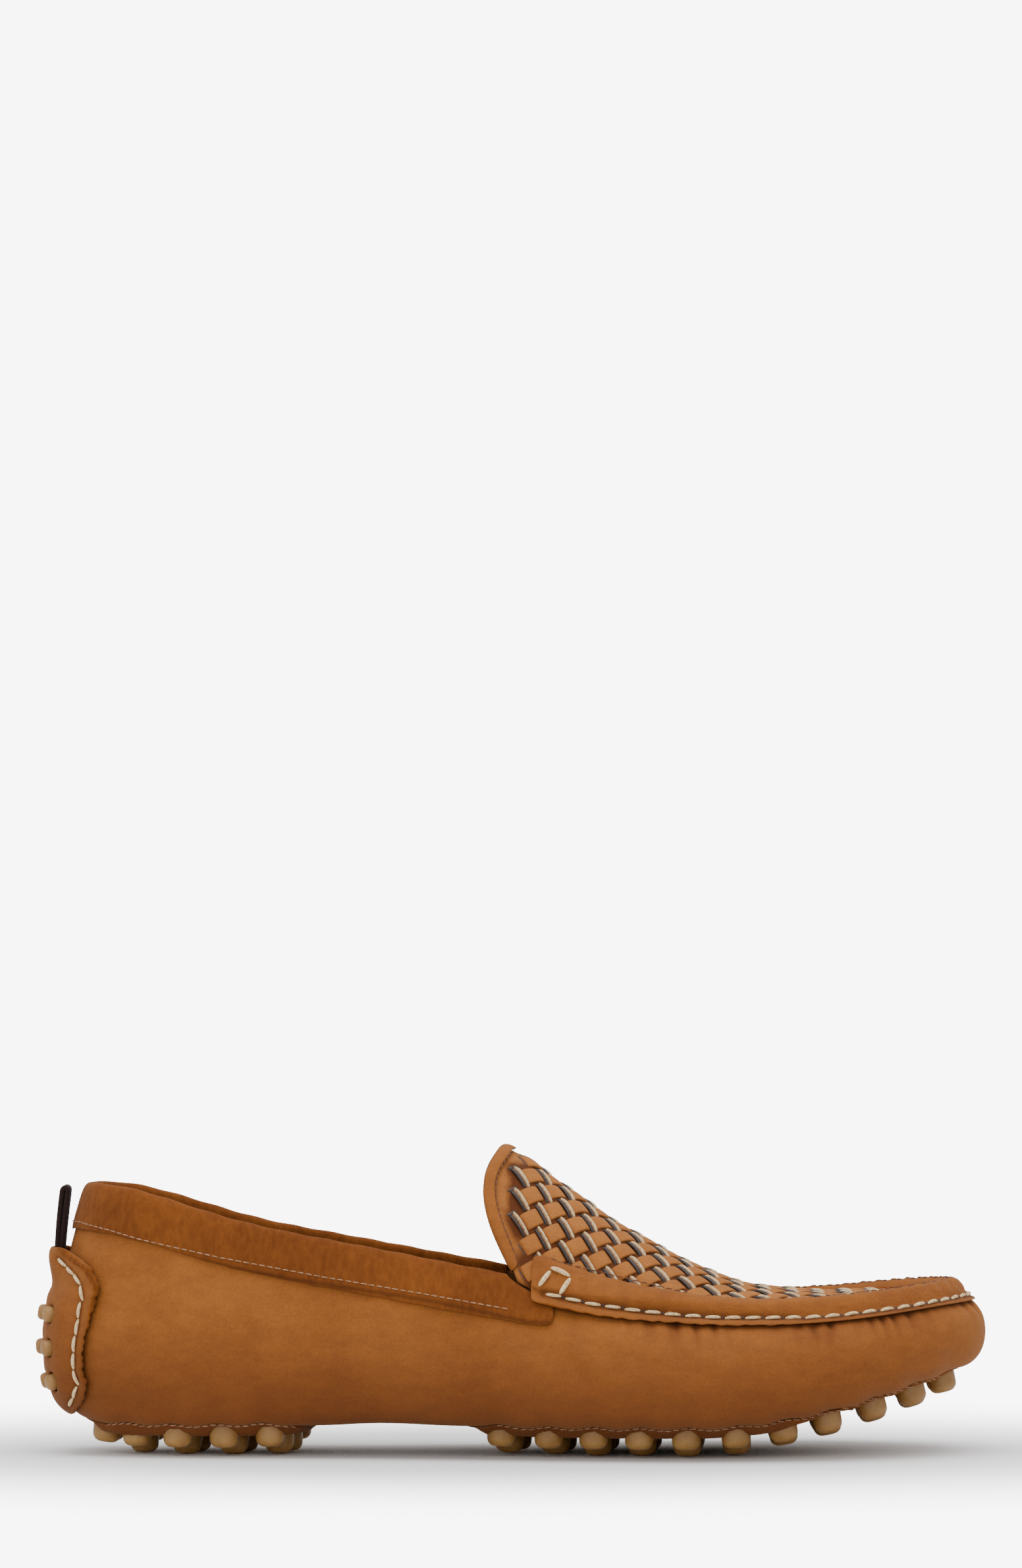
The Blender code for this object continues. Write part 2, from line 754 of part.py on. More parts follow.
def inward(side, along):
    """The level direction from the wall's widest line towards the middle of the foot."""
    low, wide = tread_point(side, along), outline_point(side, along)
    return Vector((low.x - wide.x, low.y - wide.y, 0)).normalized()


def rim_edge(side, along):
    """Where the vamp's inner face meets the upper's rim."""
    point = wall_at(side, along, 1, -UPPER_WALL)
    point -= inward(side, along) * RIM_LAP
    point.z = wall_point(side, along, 1).z + FIT_GAP
    return point


Rib = namedtuple("Rib", "x s centre half low tilt rise")


def blend(first, second, t):
    return Rib(*(a + (b - a) * t for a, b in zip(first, second)))


def across_at(line, x):
    """The y and z where a rim line passes an x."""
    for a, b in zip(line, line[1:]):
        if a.x <= x <= b.x:
            t = (x - a.x) / (b.x - a.x) if b.x > a.x else 0
            return a.y + (b.y - a.y) * t, a.z + (b.z - a.z) * t
    return line[-1].y, line[-1].z


def ridge_height(x):
    return between(INSTEP, "height", x / BODY_LENGTH) * TONGUE_HEIGHT


def vamp_ribs():
    """Sections of the vamp's inner face: its middle, half-breadth, rim heights and rise over them."""
    lines = []
    for side in (LATERAL, MEDIAL):
        first = station_at(side, 0.43)
        steps = [first + (TREAD_TOE_END - first) * (1 - (1 - k / 90) ** 2) for k in range(91)]
        lines.append([rim_edge(side, along) for along in steps])
    end = lines[0][-1].x
    start = 0.44 * BODY_LENGTH
    ribs, s = [], 0.0
    for k in range(121):
        x = start + (end - start) * (1 - (1 - k / 120) ** 2)
        (y0, z0), (y1, z1) = (across_at(line, x) for line in lines)
        slope = (ridge_height(x + MM) - ridge_height(x - MM)) / (2 * MM)
        steep = math.sqrt(1 + slope * slope)
        if ribs:
            s += (x - ribs[-1].x) * steep
        low = (z0 + z1) / 2
        rise = max(0, ridge_height(x) - (VAMP_WALL + STRIP_RISE) * steep - low)
        ribs.append(Rib(x, s, (y0 + y1) / 2, max(TINY, (y1 - y0) / 2), low, (z1 - z0) / 2, rise))
    return ribs


RIBS = vamp_ribs()


def rib_at(column, value):
    """The vamp's section at an x or at a distance s along its ridge."""
    values = [getattr(rib, column) for rib in RIBS]
    k = min(len(RIBS) - 2, max([0] + [i for i, v in enumerate(values) if v <= value]))
    t = (value - values[k]) / (values[k + 1] - values[k])
    return blend(RIBS[k], RIBS[k + 1], min(1, max(-2, t)))


def crown(rib, part):
    """The height of a section at a part of its half-breadth, negative to the lateral side."""
    return rib.low + rib.tilt * part + rib.rise * (1 - min(EDGE_REACH, abs(part)) ** VAMP_CROWN)


def vamp_plan(x, w):
    """The vamp's inner face over a place in plan, w counting to the lateral side."""
    rib = rib_at("x", x)
    part = min(EDGE_REACH, max(-EDGE_REACH, (-w - rib.centre) / rib.half))
    return Vector((x, -w, crown(rib, part)))


def arc_steps(rib):
    """Lengths along a section's curve from its middle line outwards, for even parts."""
    lengths = [0.0]
    for k in range(24):
        a, b = (k / 20, (k + 1) / 20)
        drop = rib.rise * (b**VAMP_CROWN - a**VAMP_CROWN)
        lengths.append(lengths[-1] + math.hypot(rib.half * (b - a), drop))
    return lengths


def vamp_flat(s, w):
    """The vamp's inner face by its own cloth: s along the ridge and w across, to the lateral side."""
    rib = rib_at("s", s)
    lengths = arc_steps(rib)
    k = min(len(lengths) - 2, max(i for i, v in enumerate(lengths) if v <= abs(w)))
    part = (k + (abs(w) - lengths[k]) / (lengths[k + 1] - lengths[k])) / 20
    part = -part if w > 0 else part
    return Vector((rib.x, rib.centre + part * rib.half, crown(rib, part)))


def cloth_place(x, part):
    """The cloth coordinates of a part of the half-breadth at an x."""
    rib = rib_at("x", x)
    lengths = arc_steps(rib)
    steps = abs(part) * 20
    k = min(len(lengths) - 2, int(steps))
    w = lengths[k] + (lengths[k + 1] - lengths[k]) * (steps - k)
    return rib.s, (-w if part > 0 else w)


def tongue_line():
    """The tongue's back edge in cloth coordinates, from the medial side to the lateral."""
    parts = [-step for step in reversed(TONGUE_STEPS[1:])] + list(TONGUE_STEPS)
    found = []
    for part in reversed(parts):
        x = between(TONGUE_EDGE, "share", abs(part)) * BODY_LENGTH
        found.append(cloth_place(x, part))
    return found


def tongue_directions():
    """The corners of the tongue's edge, each with the direction into the cloth."""
    line = [Vector(place) for place in tongue_line()]
    found = []
    for k, here in enumerate(line):
        run = line[min(k + 1, len(line) - 1)] - line[max(k - 1, 0)]
        forward = Vector((run.y, -run.x)).normalized()
        found.append((here, forward if forward.x > 0 else -forward))
    return found


def seam_stations(side, *shares):
    """The sections that the seam passes on a side: at these shares and at the stations beyond."""
    starts = [station_at(side, share) for share in shares]
    return starts + [s for s in STATIONS if s > starts[-1] + 0.008]


def vamp_outline():
    """The vamp's edge in cloth coordinates: the tongue's edge and then both seams to the toe."""
    sides = []
    for side in (LATERAL, MEDIAL):
        stations = seam_stations(side, TONGUE_EDGE[-1].share, APRON_START)
        places = [rim_edge(side, along) for along in stations]
        sides.append([cloth_place(place.x, side) for place in places])
    return tongue_line() + sides[0] + sides[1][-2::-1]


def apart(place, line):
    """The shortest distance from a place to a line of corners, in cloth coordinates."""
    best = 1.0
    here = Vector(place)
    for a, b in zip(line, line[1:]):
        a, b = Vector(a), Vector(b)
        t = min(1, max(0, (here - a).dot(b - a) / max(TINY * TINY, (b - a).length_squared)))
        best = min(best, (here - a.lerp(b, t)).length)
    return best


def woven_strips(outline):
    """The places where a strip passes over: its four corners and the two ends of its crest."""
    back = tongue_line()
    seam = outline[len(back) - 1 :] + [outline[0]]
    step = WEAVE_PITCH * math.sqrt(2)
    run, cross = Vector((1, -1)).normalized(), Vector((1, 1)).normalized()
    strips = []
    for i in range(26):
        for j in range(-9, 10):
            middle = Vector((RIBS[0].s + (i + 0.5) * step, (j + 0.5) * step))
            if not inside(outline, *middle):
                continue
            corners = [
                middle + run * a * STRIP_REACH + cross * b * STRIP_HALF
                for a, b in ((-1, -1), (1, -1), (1, 1), (-1, 1))
            ]
            roll = between(ROLL, "width", rib_at("s", middle.x).x / BODY_LENGTH) * FLANGE_WIDTH
            clear = all(
                inside(outline, *corner)
                and apart(corner, back) > WEAVE_MARGIN
                and apart(corner, seam) > roll + FIT_GAP
                for corner in corners
            )
            if clear:
                crest = [middle + run * a * STRIP_REACH * 0.6 for a in (-1, 1)]
                strips.append(([tuple(c) for c in corners], [tuple(c) for c in crest]))
    return strips


def build_woven_vamp():
    outline = vamp_outline()
    strips = woven_strips(outline)
    crests = {place for _, crest in strips for place in crest}
    lines = [corners for corners, _ in strips] + [crest for _, crest in strips]
    reach = BINDING_WIDTH * 1.3
    behind = [[tuple(here + forward * reach)] for here, forward in tongue_directions()[1:-1]]
    coarse = []
    for i in range(1, 30):
        for j in range(-6, 7):
            place = (RIBS[0].s + i * VAMP_GRID, j * VAMP_GRID)
            if inside(outline, *place) and apart(place, outline) > VAMP_GRID / 2:
                coarse.append([place])
    return sheet(
        "woven_vamp",
        NUBUCK,
        vamp_flat,
        (1, 1),
        outline,
        Skin(lambda u, w: 0, coarse + behind),
        Skin(lambda u, w: VAMP_WALL + (STRIP_RISE if (u, w) in crests else 0), lines + behind),
    )


def on_vamp(side, along, distance):
    """The place in plan this far inward of the seam, measured along the vamp's face."""
    start, step = rim_edge(side, along), inward(side, along) * VAMP_STEP
    walked, here = 0.0, vamp_plan(start.x, -start.y)
    while walked < distance:
        following = vamp_plan(here.x + step.x, -here.y - step.y)
        walked += (following - here).length
        here = following
    return here.x, -here.y


def apron_section(side, along):
    share = outline_share(side_share(side, along))
    past_flap = ease(COLLAR_FLAP_END + 0.02, COLLAR_FLAP_END + 0.06, share)
    gap = FIT_GAP + COLLAR_STACK * (1 - past_flap)
    width = between(ROLL, "width", share) * FLANGE_WIDTH

    def wall(drop, out):
        return wall_at(side, along, below_top(side, along, drop), out)


    def vamp(part, out):
        return lifted(vamp_plan, *on_vamp(side, along, part * width), VAMP_WALL + CURVED_GAP + out)

    return [
        wall(FLANGE_WIDTH, gap + FLANGE_LEATHER),
        wall(FLANGE_WIDTH * 0.45, gap + FLANGE_LEATHER),
        wall(FLANGE_WIDTH * 0.22, gap + FLANGE_LEATHER * 0.55),
        wall(0, gap + ROLL_HEIGHT * 0.75),
        vamp(0.1, ROLL_HEIGHT),
        vamp(0.45, ROLL_HEIGHT),
        vamp(0.8, ROLL_HEIGHT * 0.75),
        vamp(1, ROLL_HEIGHT * 0.2),
        vamp(1, 0),
        vamp(0.5, 0),
        vamp(0, 0),
        wall(0, gap),
        wall(FLANGE_WIDTH, gap),
    ]


def build_apron_strip():
    lateral = [(LATERAL, s) for s in seam_stations(LATERAL, APRON_START)]
    medial = [(MEDIAL, s) for s in seam_stations(MEDIAL, APRON_START)]
    return bar("apron_strip", NUBUCK, [apron_section(*at) for at in lateral + medial[-2::-1]])


def build_tongue_binding():
    outer, inner = VAMP_WALL + CURVED_GAP, -CURVED_GAP
    section = [
        (BINDING_WIDTH, outer + BINDING_LEATHER),
        (-FIT_GAP, outer + BINDING_LEATHER),
        (-FIT_GAP - BINDING_LEATHER, outer + BINDING_SWELL),
        (-FIT_GAP - BINDING_LEATHER, inner - BINDING_SWELL),
        (-FIT_GAP, inner - BINDING_LEATHER),
        (BINDING_WIDTH, inner - BINDING_LEATHER),
        (BINDING_WIDTH, inner),
        (-FIT_GAP, inner),
        (-FIT_GAP, outer),
        (BINDING_WIDTH, outer),
    ]
    sections = [
        [lifted(vamp_flat, *(here + forward * d), out) for d, out in section]
        for here, forward in tongue_directions()
    ]
    return bar("tongue_binding", NUBUCK, sections)


def collar_section(side, along, fold):
    """The band outside the wall and, where it folds, over the rim and down inside."""
    share = outline_share(side_share(side, along))
    depth = COLLAR_BAND_DEPTH - 0.8 * (collar_height(share) - top_height(share))
    rim = wall_point(side, along, 1).z
    gap, out = FIT_GAP, COLLAR_STACK
    inner_gap = UPPER_WALL + CURVED_GAP

    def band(drop, outward):
        return wall_at(side, along, below_top(side, along, drop), outward)

    def top(outward, height):
        point = wall_at(side, along, 1, outward)
        point.z = rim + height
        return point

    outside = [band(depth, gap), band(depth, out), band(depth / 2, out)]
    inside_half = [band(depth / 2, gap)]
    if not fold:
        return outside + [band(FLAP_DROP, out), band(FLAP_DROP, gap)] + inside_half
    over = [
        top(out, FIT_GAP),
        top(-UPPER_WALL / 2, COLLAR_STACK),
        top(-inner_gap - COLLAR_LEATHER, FIT_GAP),
        band(COLLAR_FOLD_DEPTH, -inner_gap - COLLAR_LEATHER),
        band(COLLAR_FOLD_DEPTH, -inner_gap),
        top(-inner_gap, gap),
        top(gap, gap),
    ]
    return outside + over + inside_half


def build_collar_band():
    mesh = bmesh.new()
    ends = {side: station_at(side, COLLAR_FOLD_END) for side in (LATERAL, MEDIAL)}
    lateral = [(LATERAL, ends[LATERAL])]
    lateral += [(LATERAL, s) for s in reversed(STATIONS) if s < ends[LATERAL] - 0.008]
    medial = [(MEDIAL, s) for s in STATIONS[1:] if s < ends[MEDIAL] - 0.008]
    medial += [(MEDIAL, ends[MEDIAL])]
    rings = [vertices(mesh, collar_section(*at, True)) for at in lateral + medial]
    loft(mesh, rings, True)
    for side, ring in ((LATERAL, rings[0]), (MEDIAL, rings[-1])):
        flap = [ring[:4] + ring[-2:]]
        for share in (COLLAR_FOLD_END + THROAT_STEP, COLLAR_FLAP_END):
            flap.append(vertices(mesh, collar_section(side, station_at(side, share), False)))
        loft(mesh, flap, True)
        mesh.faces.new(flap[-1])
        mesh.faces.new(ring[3:-1])
    return object_from("collar_band", SUEDE, mesh)


def heel_outline(rows, wider=0, taller=0, top=(), bottom=()):
    """A loop round the heel: up the lateral side, over the top and down the medial side."""
    middle = (rows[0].height + rows[-1].height) / 2
    rising = []
    for row in rows:
        height = row.height * HEEL_HEIGHT + (taller if row.height > middle else -taller)
        rising.append((math.radians(row.angle + wider), height))
    crest = [(math.radians(angle), rising[-1][1] + SHEET_CREST) for angle in top]
    sill = [(math.radians(angle), rising[0][1] - SHEET_CREST) for angle in bottom]
    return [(-a, h) for a, h in rising] + crest + rising[::-1] + sill


def heel_spots(rows):
    return [[(math.radians(angle), row.height * HEEL_HEIGHT)] for row in rows for angle in row.angles]


def build_heel_counter():
    over = heel_outline(BACK_SHEET, 2.6, 1.0 * MM, top=(-11, 0, 11), bottom=(11, 0, -11))
    spots = heel_spots(COUNTER_SPOTS)

    def low(angle, height):
        on_sheet = inside(over, angle, height) or (angle, height) in over
        spread = math.degrees(abs(angle))
        aside = 1 - ease(LOOP_POCKET_ANGLE, 2 * LOOP_POCKET_ANGLE, spread)
        pocket = LOOP_POCKET * aside * ease(*LOOP_POCKET_RISE, height / HEEL_HEIGHT)
        return CURVED_GAP + (PEG_SHEET + CURVED_GAP) * on_sheet + pocket

    pegs = back_peg_places()
    sheet(
        "heel_counter",
        NUBUCK,
        heel_face,
        HEEL_SCALE,
        heel_outline(COUNTER, top=(-12, 0, 12), bottom=(10, 0, -10)),
        Skin(low, [over] + spots),
        Skin(lambda u, w: low(u, w) + COUNTER_LEATHER, [over] + spots),
        holes=[(peg.u, peg.w, peg.radius + FIT_GAP) for peg in pegs],
    )
    columns = heel_spots(BACK_SHEET_SPOTS)
    sheet(
        "back_pegs",
        RUBBER,
        heel_face,
        HEEL_SCALE,
        heel_outline(BACK_SHEET, top=(-10, 0, 10), bottom=(10, 0, -10)),
        Skin(lambda u, w: CURVED_GAP, columns),
        Skin(lambda u, w: CURVED_GAP + PEG_SHEET, columns),
        pegs=pegs,
    )


def back_peg_places():
    stack = 2 * CURVED_GAP + PEG_SHEET + COUNTER_LEATHER
    return [
        Peg(
            math.radians(angle),
            row.height * HEEL_HEIGHT,
            BACK_PEG_RADIUS * row.size,
            stack + BACK_PEG_HEIGHT,
        )
        for row in BACK_PEGS
        for angle in BACK_PEG_ANGLES
    ]


def build_pull_loop():
    """A strip of webbing that goes up from behind the counter, over a bend and down again."""
    base_z = COUNTER[-1].height * HEEL_HEIGHT - LOOP_TUCK
    top_z = base_z + LOOP_HEIGHT - LOOP_BEND - LOOP_WEBBING / 2
    y = centre_y(0)
    front = heel_face(0, base_z).x - FIT_GAP - LOOP_WEBBING / 2
    back = front - LOOP_WEBBING - LOOP_PLY_GAP
    path = [(front, base_z), (front, (base_z + top_z) / 2)]
    middle = front - LOOP_BEND
    for k in range(5):
        turn = math.pi * k / 4
        path.append((middle + LOOP_BEND * math.cos(turn), top_z + LOOP_BEND * math.sin(turn)))
    path += [(back - LOOP_SPREAD, (base_z + top_z) / 2), (back, base_z)]
    sections = []
    for k, (x, z) in enumerate(path):
        (x0, z0), (x1, z1) = path[max(0, k - 1)], path[min(len(path) - 1, k + 1)]
        out = Vector((z1 - z0, 0, x0 - x1)).normalized() * LOOP_WEBBING / 2
        here = Vector((x, y, z))
        wide = Vector((0, LOOP_WIDTH / 2, 0))
        sections.append([here + out + wide, here + out - wide, here - out - wide, here - out + wide])
    return bar("pull_loop", WEBBING, sections)


def clear_scene():
    for obj in list(bpy.data.objects):
        bpy.data.objects.remove(obj)


def settle():
    """Moves the shoe so that the middle of its box stands over the origin, with its pegs at zero."""
    parts = [obj for obj in bpy.data.objects if obj.type == "MESH"]
    corners = [vertex.co for obj in parts for vertex in obj.data.vertices]
    low = [min(corner[axis] for corner in corners) for axis in range(3)]
    high = [max(corner[axis] for corner in corners) for axis in range(3)]
    shift = Vector(((low[0] + high[0]) / -2, (low[1] + high[1]) / -2, -low[2]))
    for obj in parts:
        for vertex in obj.data.vertices:
            vertex.co += shift


clear_scene()
build_upper()
build_insole()
for one_sole in SOLES:
    build_pegged_sole(one_sole)
build_woven_vamp()
build_apron_strip()
build_tongue_binding()
build_collar_band()
build_heel_counter()
build_pull_loop()
settle()
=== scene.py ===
# %% [markdown]
# A driving moccasin is soft leather sewn into a hammock that wraps under the foot, with a woven
# plug let into its top and rubber pegs pushed through its underside. The CAD solids give every
# piece its place and size, but they are faceted. Here each soft piece is dressed: smoothed,
# creased, stitched, and given nap and grain. The CAD frame is loaded first.

# %% Load the CAD frame
import json
import math

import bpy
import numpy as np
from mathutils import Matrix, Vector
from mathutils.bvhtree import BVHTree

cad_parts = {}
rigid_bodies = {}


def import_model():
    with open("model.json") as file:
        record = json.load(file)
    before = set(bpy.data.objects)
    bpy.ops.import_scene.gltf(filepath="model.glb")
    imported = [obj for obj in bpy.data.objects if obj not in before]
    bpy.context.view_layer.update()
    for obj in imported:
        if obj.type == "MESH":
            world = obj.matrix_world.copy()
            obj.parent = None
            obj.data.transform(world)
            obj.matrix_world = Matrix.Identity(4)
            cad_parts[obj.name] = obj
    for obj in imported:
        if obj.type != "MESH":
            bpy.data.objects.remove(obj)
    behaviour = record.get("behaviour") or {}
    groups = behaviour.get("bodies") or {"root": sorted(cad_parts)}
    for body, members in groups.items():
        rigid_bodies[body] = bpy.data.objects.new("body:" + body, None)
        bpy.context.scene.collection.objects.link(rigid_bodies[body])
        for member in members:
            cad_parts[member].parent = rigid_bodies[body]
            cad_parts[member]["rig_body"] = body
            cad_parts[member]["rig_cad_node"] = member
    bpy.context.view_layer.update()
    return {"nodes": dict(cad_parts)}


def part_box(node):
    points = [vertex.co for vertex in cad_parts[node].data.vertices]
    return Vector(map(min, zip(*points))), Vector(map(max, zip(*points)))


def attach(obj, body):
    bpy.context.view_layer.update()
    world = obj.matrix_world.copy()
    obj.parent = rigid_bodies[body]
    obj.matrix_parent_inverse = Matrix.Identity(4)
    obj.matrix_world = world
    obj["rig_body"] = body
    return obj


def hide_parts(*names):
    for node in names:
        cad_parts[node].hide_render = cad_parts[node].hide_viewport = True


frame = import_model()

MM = 0.001

# %% [markdown]
# Operators act on whatever is selected, and the loaded nodes still are. So each step starts by
# deselecting everything. A copy of a CAD node is loose triangles until its doubles are merged,
# and its triangles pair up into quads so that a Subdivision Surface can round it evenly.


# %% Copy a CAD node and make it smooth
def take(piece):
    """Makes one object the only selected one."""
    bpy.ops.object.select_all(action="DESELECT")
    piece.select_set(True)
    bpy.context.view_layer.objects.active = piece


def edited(piece, operator, **settings):
    """Runs one operator of edit mode on the whole of a piece."""
    take(piece)
    bpy.ops.object.mode_set(mode="EDIT")
    bpy.ops.mesh.select_all(action="SELECT")
    operator(**settings)
    bpy.ops.object.mode_set(mode="OBJECT")
    return piece


def copy_of(node_name, name):
    """A merged copy of a CAD node, as quads where its triangles pair up."""
    source = frame["nodes"][node_name]
    piece = source.copy()
    piece.data = source.data.copy()
    piece.name = piece.data.name = name
    piece.parent = None
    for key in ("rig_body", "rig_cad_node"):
        if key in piece:
            del piece[key]
    piece.data.materials.clear()
    bpy.context.scene.collection.objects.link(piece)
    take(piece)
    bpy.ops.mesh.customdata_custom_splitnormals_clear()
    bpy.ops.object.mode_set(mode="EDIT")
    bpy.ops.mesh.select_all(action="SELECT")
    bpy.ops.mesh.remove_doubles(threshold=0.002 * MM)
    bpy.ops.mesh.mark_sharp(clear=True)
    limit = math.radians(50)
    bpy.ops.mesh.tris_convert_to_quads(face_threshold=limit, shape_threshold=limit)
    bpy.ops.object.mode_set(mode="OBJECT")
    return piece


def rounded(piece, levels):
    """Rounds a piece with a Subdivision Surface and shades it smooth."""
    take(piece)
    smoother = piece.modifiers.new("round", "SUBSURF")
    smoother.levels = smoother.render_levels = levels
    bpy.ops.object.modifier_apply(modifier=smoother.name)
    bpy.ops.object.shade_smooth()
    return piece


print("CAD nodes:", ", ".join(sorted(frame["nodes"])))

# %% [markdown]
# Creases, puckers and worn places are small, and there are hundreds of them. They could be pulled
# by hand, but NumPy moves all the vertices at once and repeats it exactly. A number stored at
# each vertex then tells the material where to paint shade into a crease or where a rubbed place lies.


# %% Read, move and mark the vertices
def corners_of(piece):
    """The vertices and their normals, as arrays."""
    count = len(piece.data.vertices)
    points, normals = np.empty(count * 3), np.empty(count * 3)
    piece.data.vertices.foreach_get("co", points)
    piece.data.vertices.foreach_get("normal", normals)
    return points.reshape(-1, 3), normals.reshape(-1, 3)


def move_to(piece, points):
    piece.data.vertices.foreach_set("co", np.ascontiguousarray(points).ravel())
    piece.data.update()


def tone(piece, values, name="tone"):
    """A number at each vertex that its material reads."""
    data = piece.data
    layer = data.attributes.get(name) or data.attributes.new(name, "FLOAT", "POINT")
    layer.data.foreach_set("value", np.ascontiguousarray(values, np.float32))


def ease(low, high, value):
    """0 below low, 1 above high, and smooth between, for arrays."""
    t = np.clip((value - low) / (high - low), 0, 1)
    return t * t * (3 - 2 * t)


def tree_of(piece):
    """What ray_cast searches: the piece's faces."""
    data = piece.data
    return BVHTree.FromPolygons(
        [v.co.copy() for v in data.vertices], [list(p.vertices) for p in data.polygons]
    )


# %% Hand a finished piece over
def dress(piece, slot, *nodes):
    """Ties a finished piece to the shoe and hides the solids it replaces. The slot is not used."""
    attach(piece, "root")
    if nodes:
        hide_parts(*nodes)
    print(piece.name, len(piece.data.polygons), "faces")


# %% [markdown]
# Shader maths reads better as an expression than as a chain of nodes. This small class wraps a
# socket, so that 1 - mask or noise * 0.3 adds the Math node that it needs. Everything else comes
# from one method, which sets a node's settings first and then fills its sockets.


# %% Shader maths as expressions
class Wire:
    def __init__(self, tree, socket):
        self.tree, self.socket = tree, socket

    def maths(self, operation, first, second):
        made = node(self.tree, "ShaderNodeMath", {0: first, 1: second}, operation=operation)
        return Wire(self.tree, made.outputs[0])

    def __add__(self, other):
        return self.maths("ADD", self, other)

    def __sub__(self, other):
        return self.maths("SUBTRACT", self, other)

    def __rsub__(self, other):
        return self.maths("SUBTRACT", other, self)
    def __mul__(self, other):
        return self.maths("MULTIPLY", self, other)

    __radd__, __rmul__ = __add__, __mul__

    def band(self, low, high):
        """0 below low, 1 above high, smooth between."""
        made = node(
            self.tree,
            "ShaderNodeMapRange",
            {"Value": self, "From Min": low, "From Max": high},
            interpolation_type="SMOOTHSTEP",
        )
        return Wire(self.tree, made.outputs[0])


def node(tree, kind, sockets=(), **settings):
    """Any node: its settings first, then a value or a link for each named socket."""
    made = tree.nodes.new(kind)
    for key, value in settings.items():
        setattr(made, key, value)
    for key, value in dict(sockets).items():
        if isinstance(value, Wire):
            tree.links.new(value.socket, made.inputs[key])
        else:
            made.inputs[key].default_value = value
    return made


def mixed(tree, factor, first, second):
    """One colour turning into another as the factor goes from 0 to 1."""
    made = node(
        tree, "ShaderNodeMix", {0: factor, 6: first, 7: second}, data_type="RGBA", clamp_factor=True
    )
    return Wire(tree, made.outputs[2])


# %% Patterns, places and sockets
def noise(tree, place, scale, detail=3.0, roughness=0.55):
    """Cloudy values about 0.5. The scale counts clouds to the metre."""
    made = node(
        tree,
        "ShaderNodeTexNoise",
        {"Vector": place, "Scale": scale, "Detail": detail, "Roughness": roughness},
    )
    return Wire(tree, made.outputs[0])


def object_place(tree, stretch=(1, 1, 1), turn=(0, 0, 0)):
    """Object coordinates, stretched or turned."""
    coordinates = Wire(tree, node(tree, "ShaderNodeTexCoord").outputs["Object"])
    if stretch == (1, 1, 1) and turn == (0, 0, 0):
        return coordinates
    made = node(
        tree, "ShaderNodeMapping", {"Vector": coordinates, "Scale": stretch, "Rotation": turn}
    )
    return Wire(tree, made.outputs[0])


def height_in(tree, place):
    """The Z of a place."""
    return Wire(tree, node(tree, "ShaderNodeSeparateXYZ", {0: place}).outputs["Z"])


def attribute(tree, name):
    """The number that is stored at each vertex under this name."""
    made = node(tree, "ShaderNodeAttribute", attribute_name=name)
    return Wire(tree, made.outputs["Fac"])


def surface(name):
    """A new material: its tree and its Principled shader."""
    made = bpy.data.materials.new(name)
    made.use_nodes = True
    return made, made.node_tree, made.node_tree.nodes["Principled BSDF"]


def constants(shader, values):
    """Values that are the same all over, set on the shader's own sockets."""
    for key, value in values.items():
        shader.inputs[key].default_value = value


def finish_of(tree, shader, colour, rough, height, depth, strength=1.0):
    """Links colour, roughness and a relief, whose full height is this deep, to the shader."""
    tree.links.new(colour.socket, shader.inputs["Base Color"])
    if isinstance(rough, Wire):
        tree.links.new(rough.socket, shader.inputs["Roughness"])
    else:
        constants(shader, {"Roughness": rough})
    bump = node(
        tree, "ShaderNodeBump", {"Height": height, "Distance": depth, "Strength": strength}
    )
    tree.links.new(bump.outputs[0], shader.inputs["Normal"])


# %% [markdown]
# Nubuck is leather whose grain side has been buffed to a very short nap. It is matt, slightly
# velvety at grazing angles, cloudy where the hand has brushed it, and here painted shade darkens it
# towards the sole. Suede is the rougher flesh side: a stronger colour with visible nap. Large soft
# noise gives the clouds, fine noise the nap, and the number painted on the vertices marks the places
# with painted shade (below 0), and rubbed places and painted highlights, which come out paler (above
# 0).


# %% Nubuck and suede
def nubuck(name, pale, deep, shadow, lining=None):
    """Buffed leather, with painted shade near the floor and where its tone is below 0."""
    made, tree, shader = surface(name)
    place = object_place(tree)
    floor_shade = height_in(tree, place).band(50 * MM, 7 * MM)
    clouds = noise(tree, place, 24, 4).band(0.32, 0.68)
    brushed = noise(tree, object_place(tree, (1, 1, 2.4)), 130, 4).band(0.3, 0.7)
    grains = noise(tree, place, 420, 3)
    nap = noise(tree, place, 1500, 2)
    painted = attribute(tree, "tone")
    shade = clouds * 0.35 + brushed * 0.25 + grains * 0.35 + nap.band(0.2, 0.8) * 0.3 - 0.12
    colour = mixed(tree, shade, deep, pale)
    # painted shade towards the floor and where the tone is below 0; above 0, rubbed wear on the toe
    # and painted highlight on the apron's puffs
    colour = mixed(tree, floor_shade * 0.68, colour, shadow)
    colour = mixed(tree, painted * -1.0, colour, shadow)
    colour = mixed(tree, painted, colour, pale)
    if lining:
        colour = mixed(tree, attribute(tree, "inner"), colour, lining)
    height = nap * 0.5 + grains * 0.5
    finish_of(tree, shader, colour, brushed * 0.08 + 0.80, height, 0.32 * MM, 0.8)
    constants(shader, {"Specular IOR Level": 0.16, "Sheen Weight": 0.10, "Sheen Roughness": 0.45})
    constants(shader, {"Sheen Tint": (0.95, 0.60, 0.30, 1)})
    return made


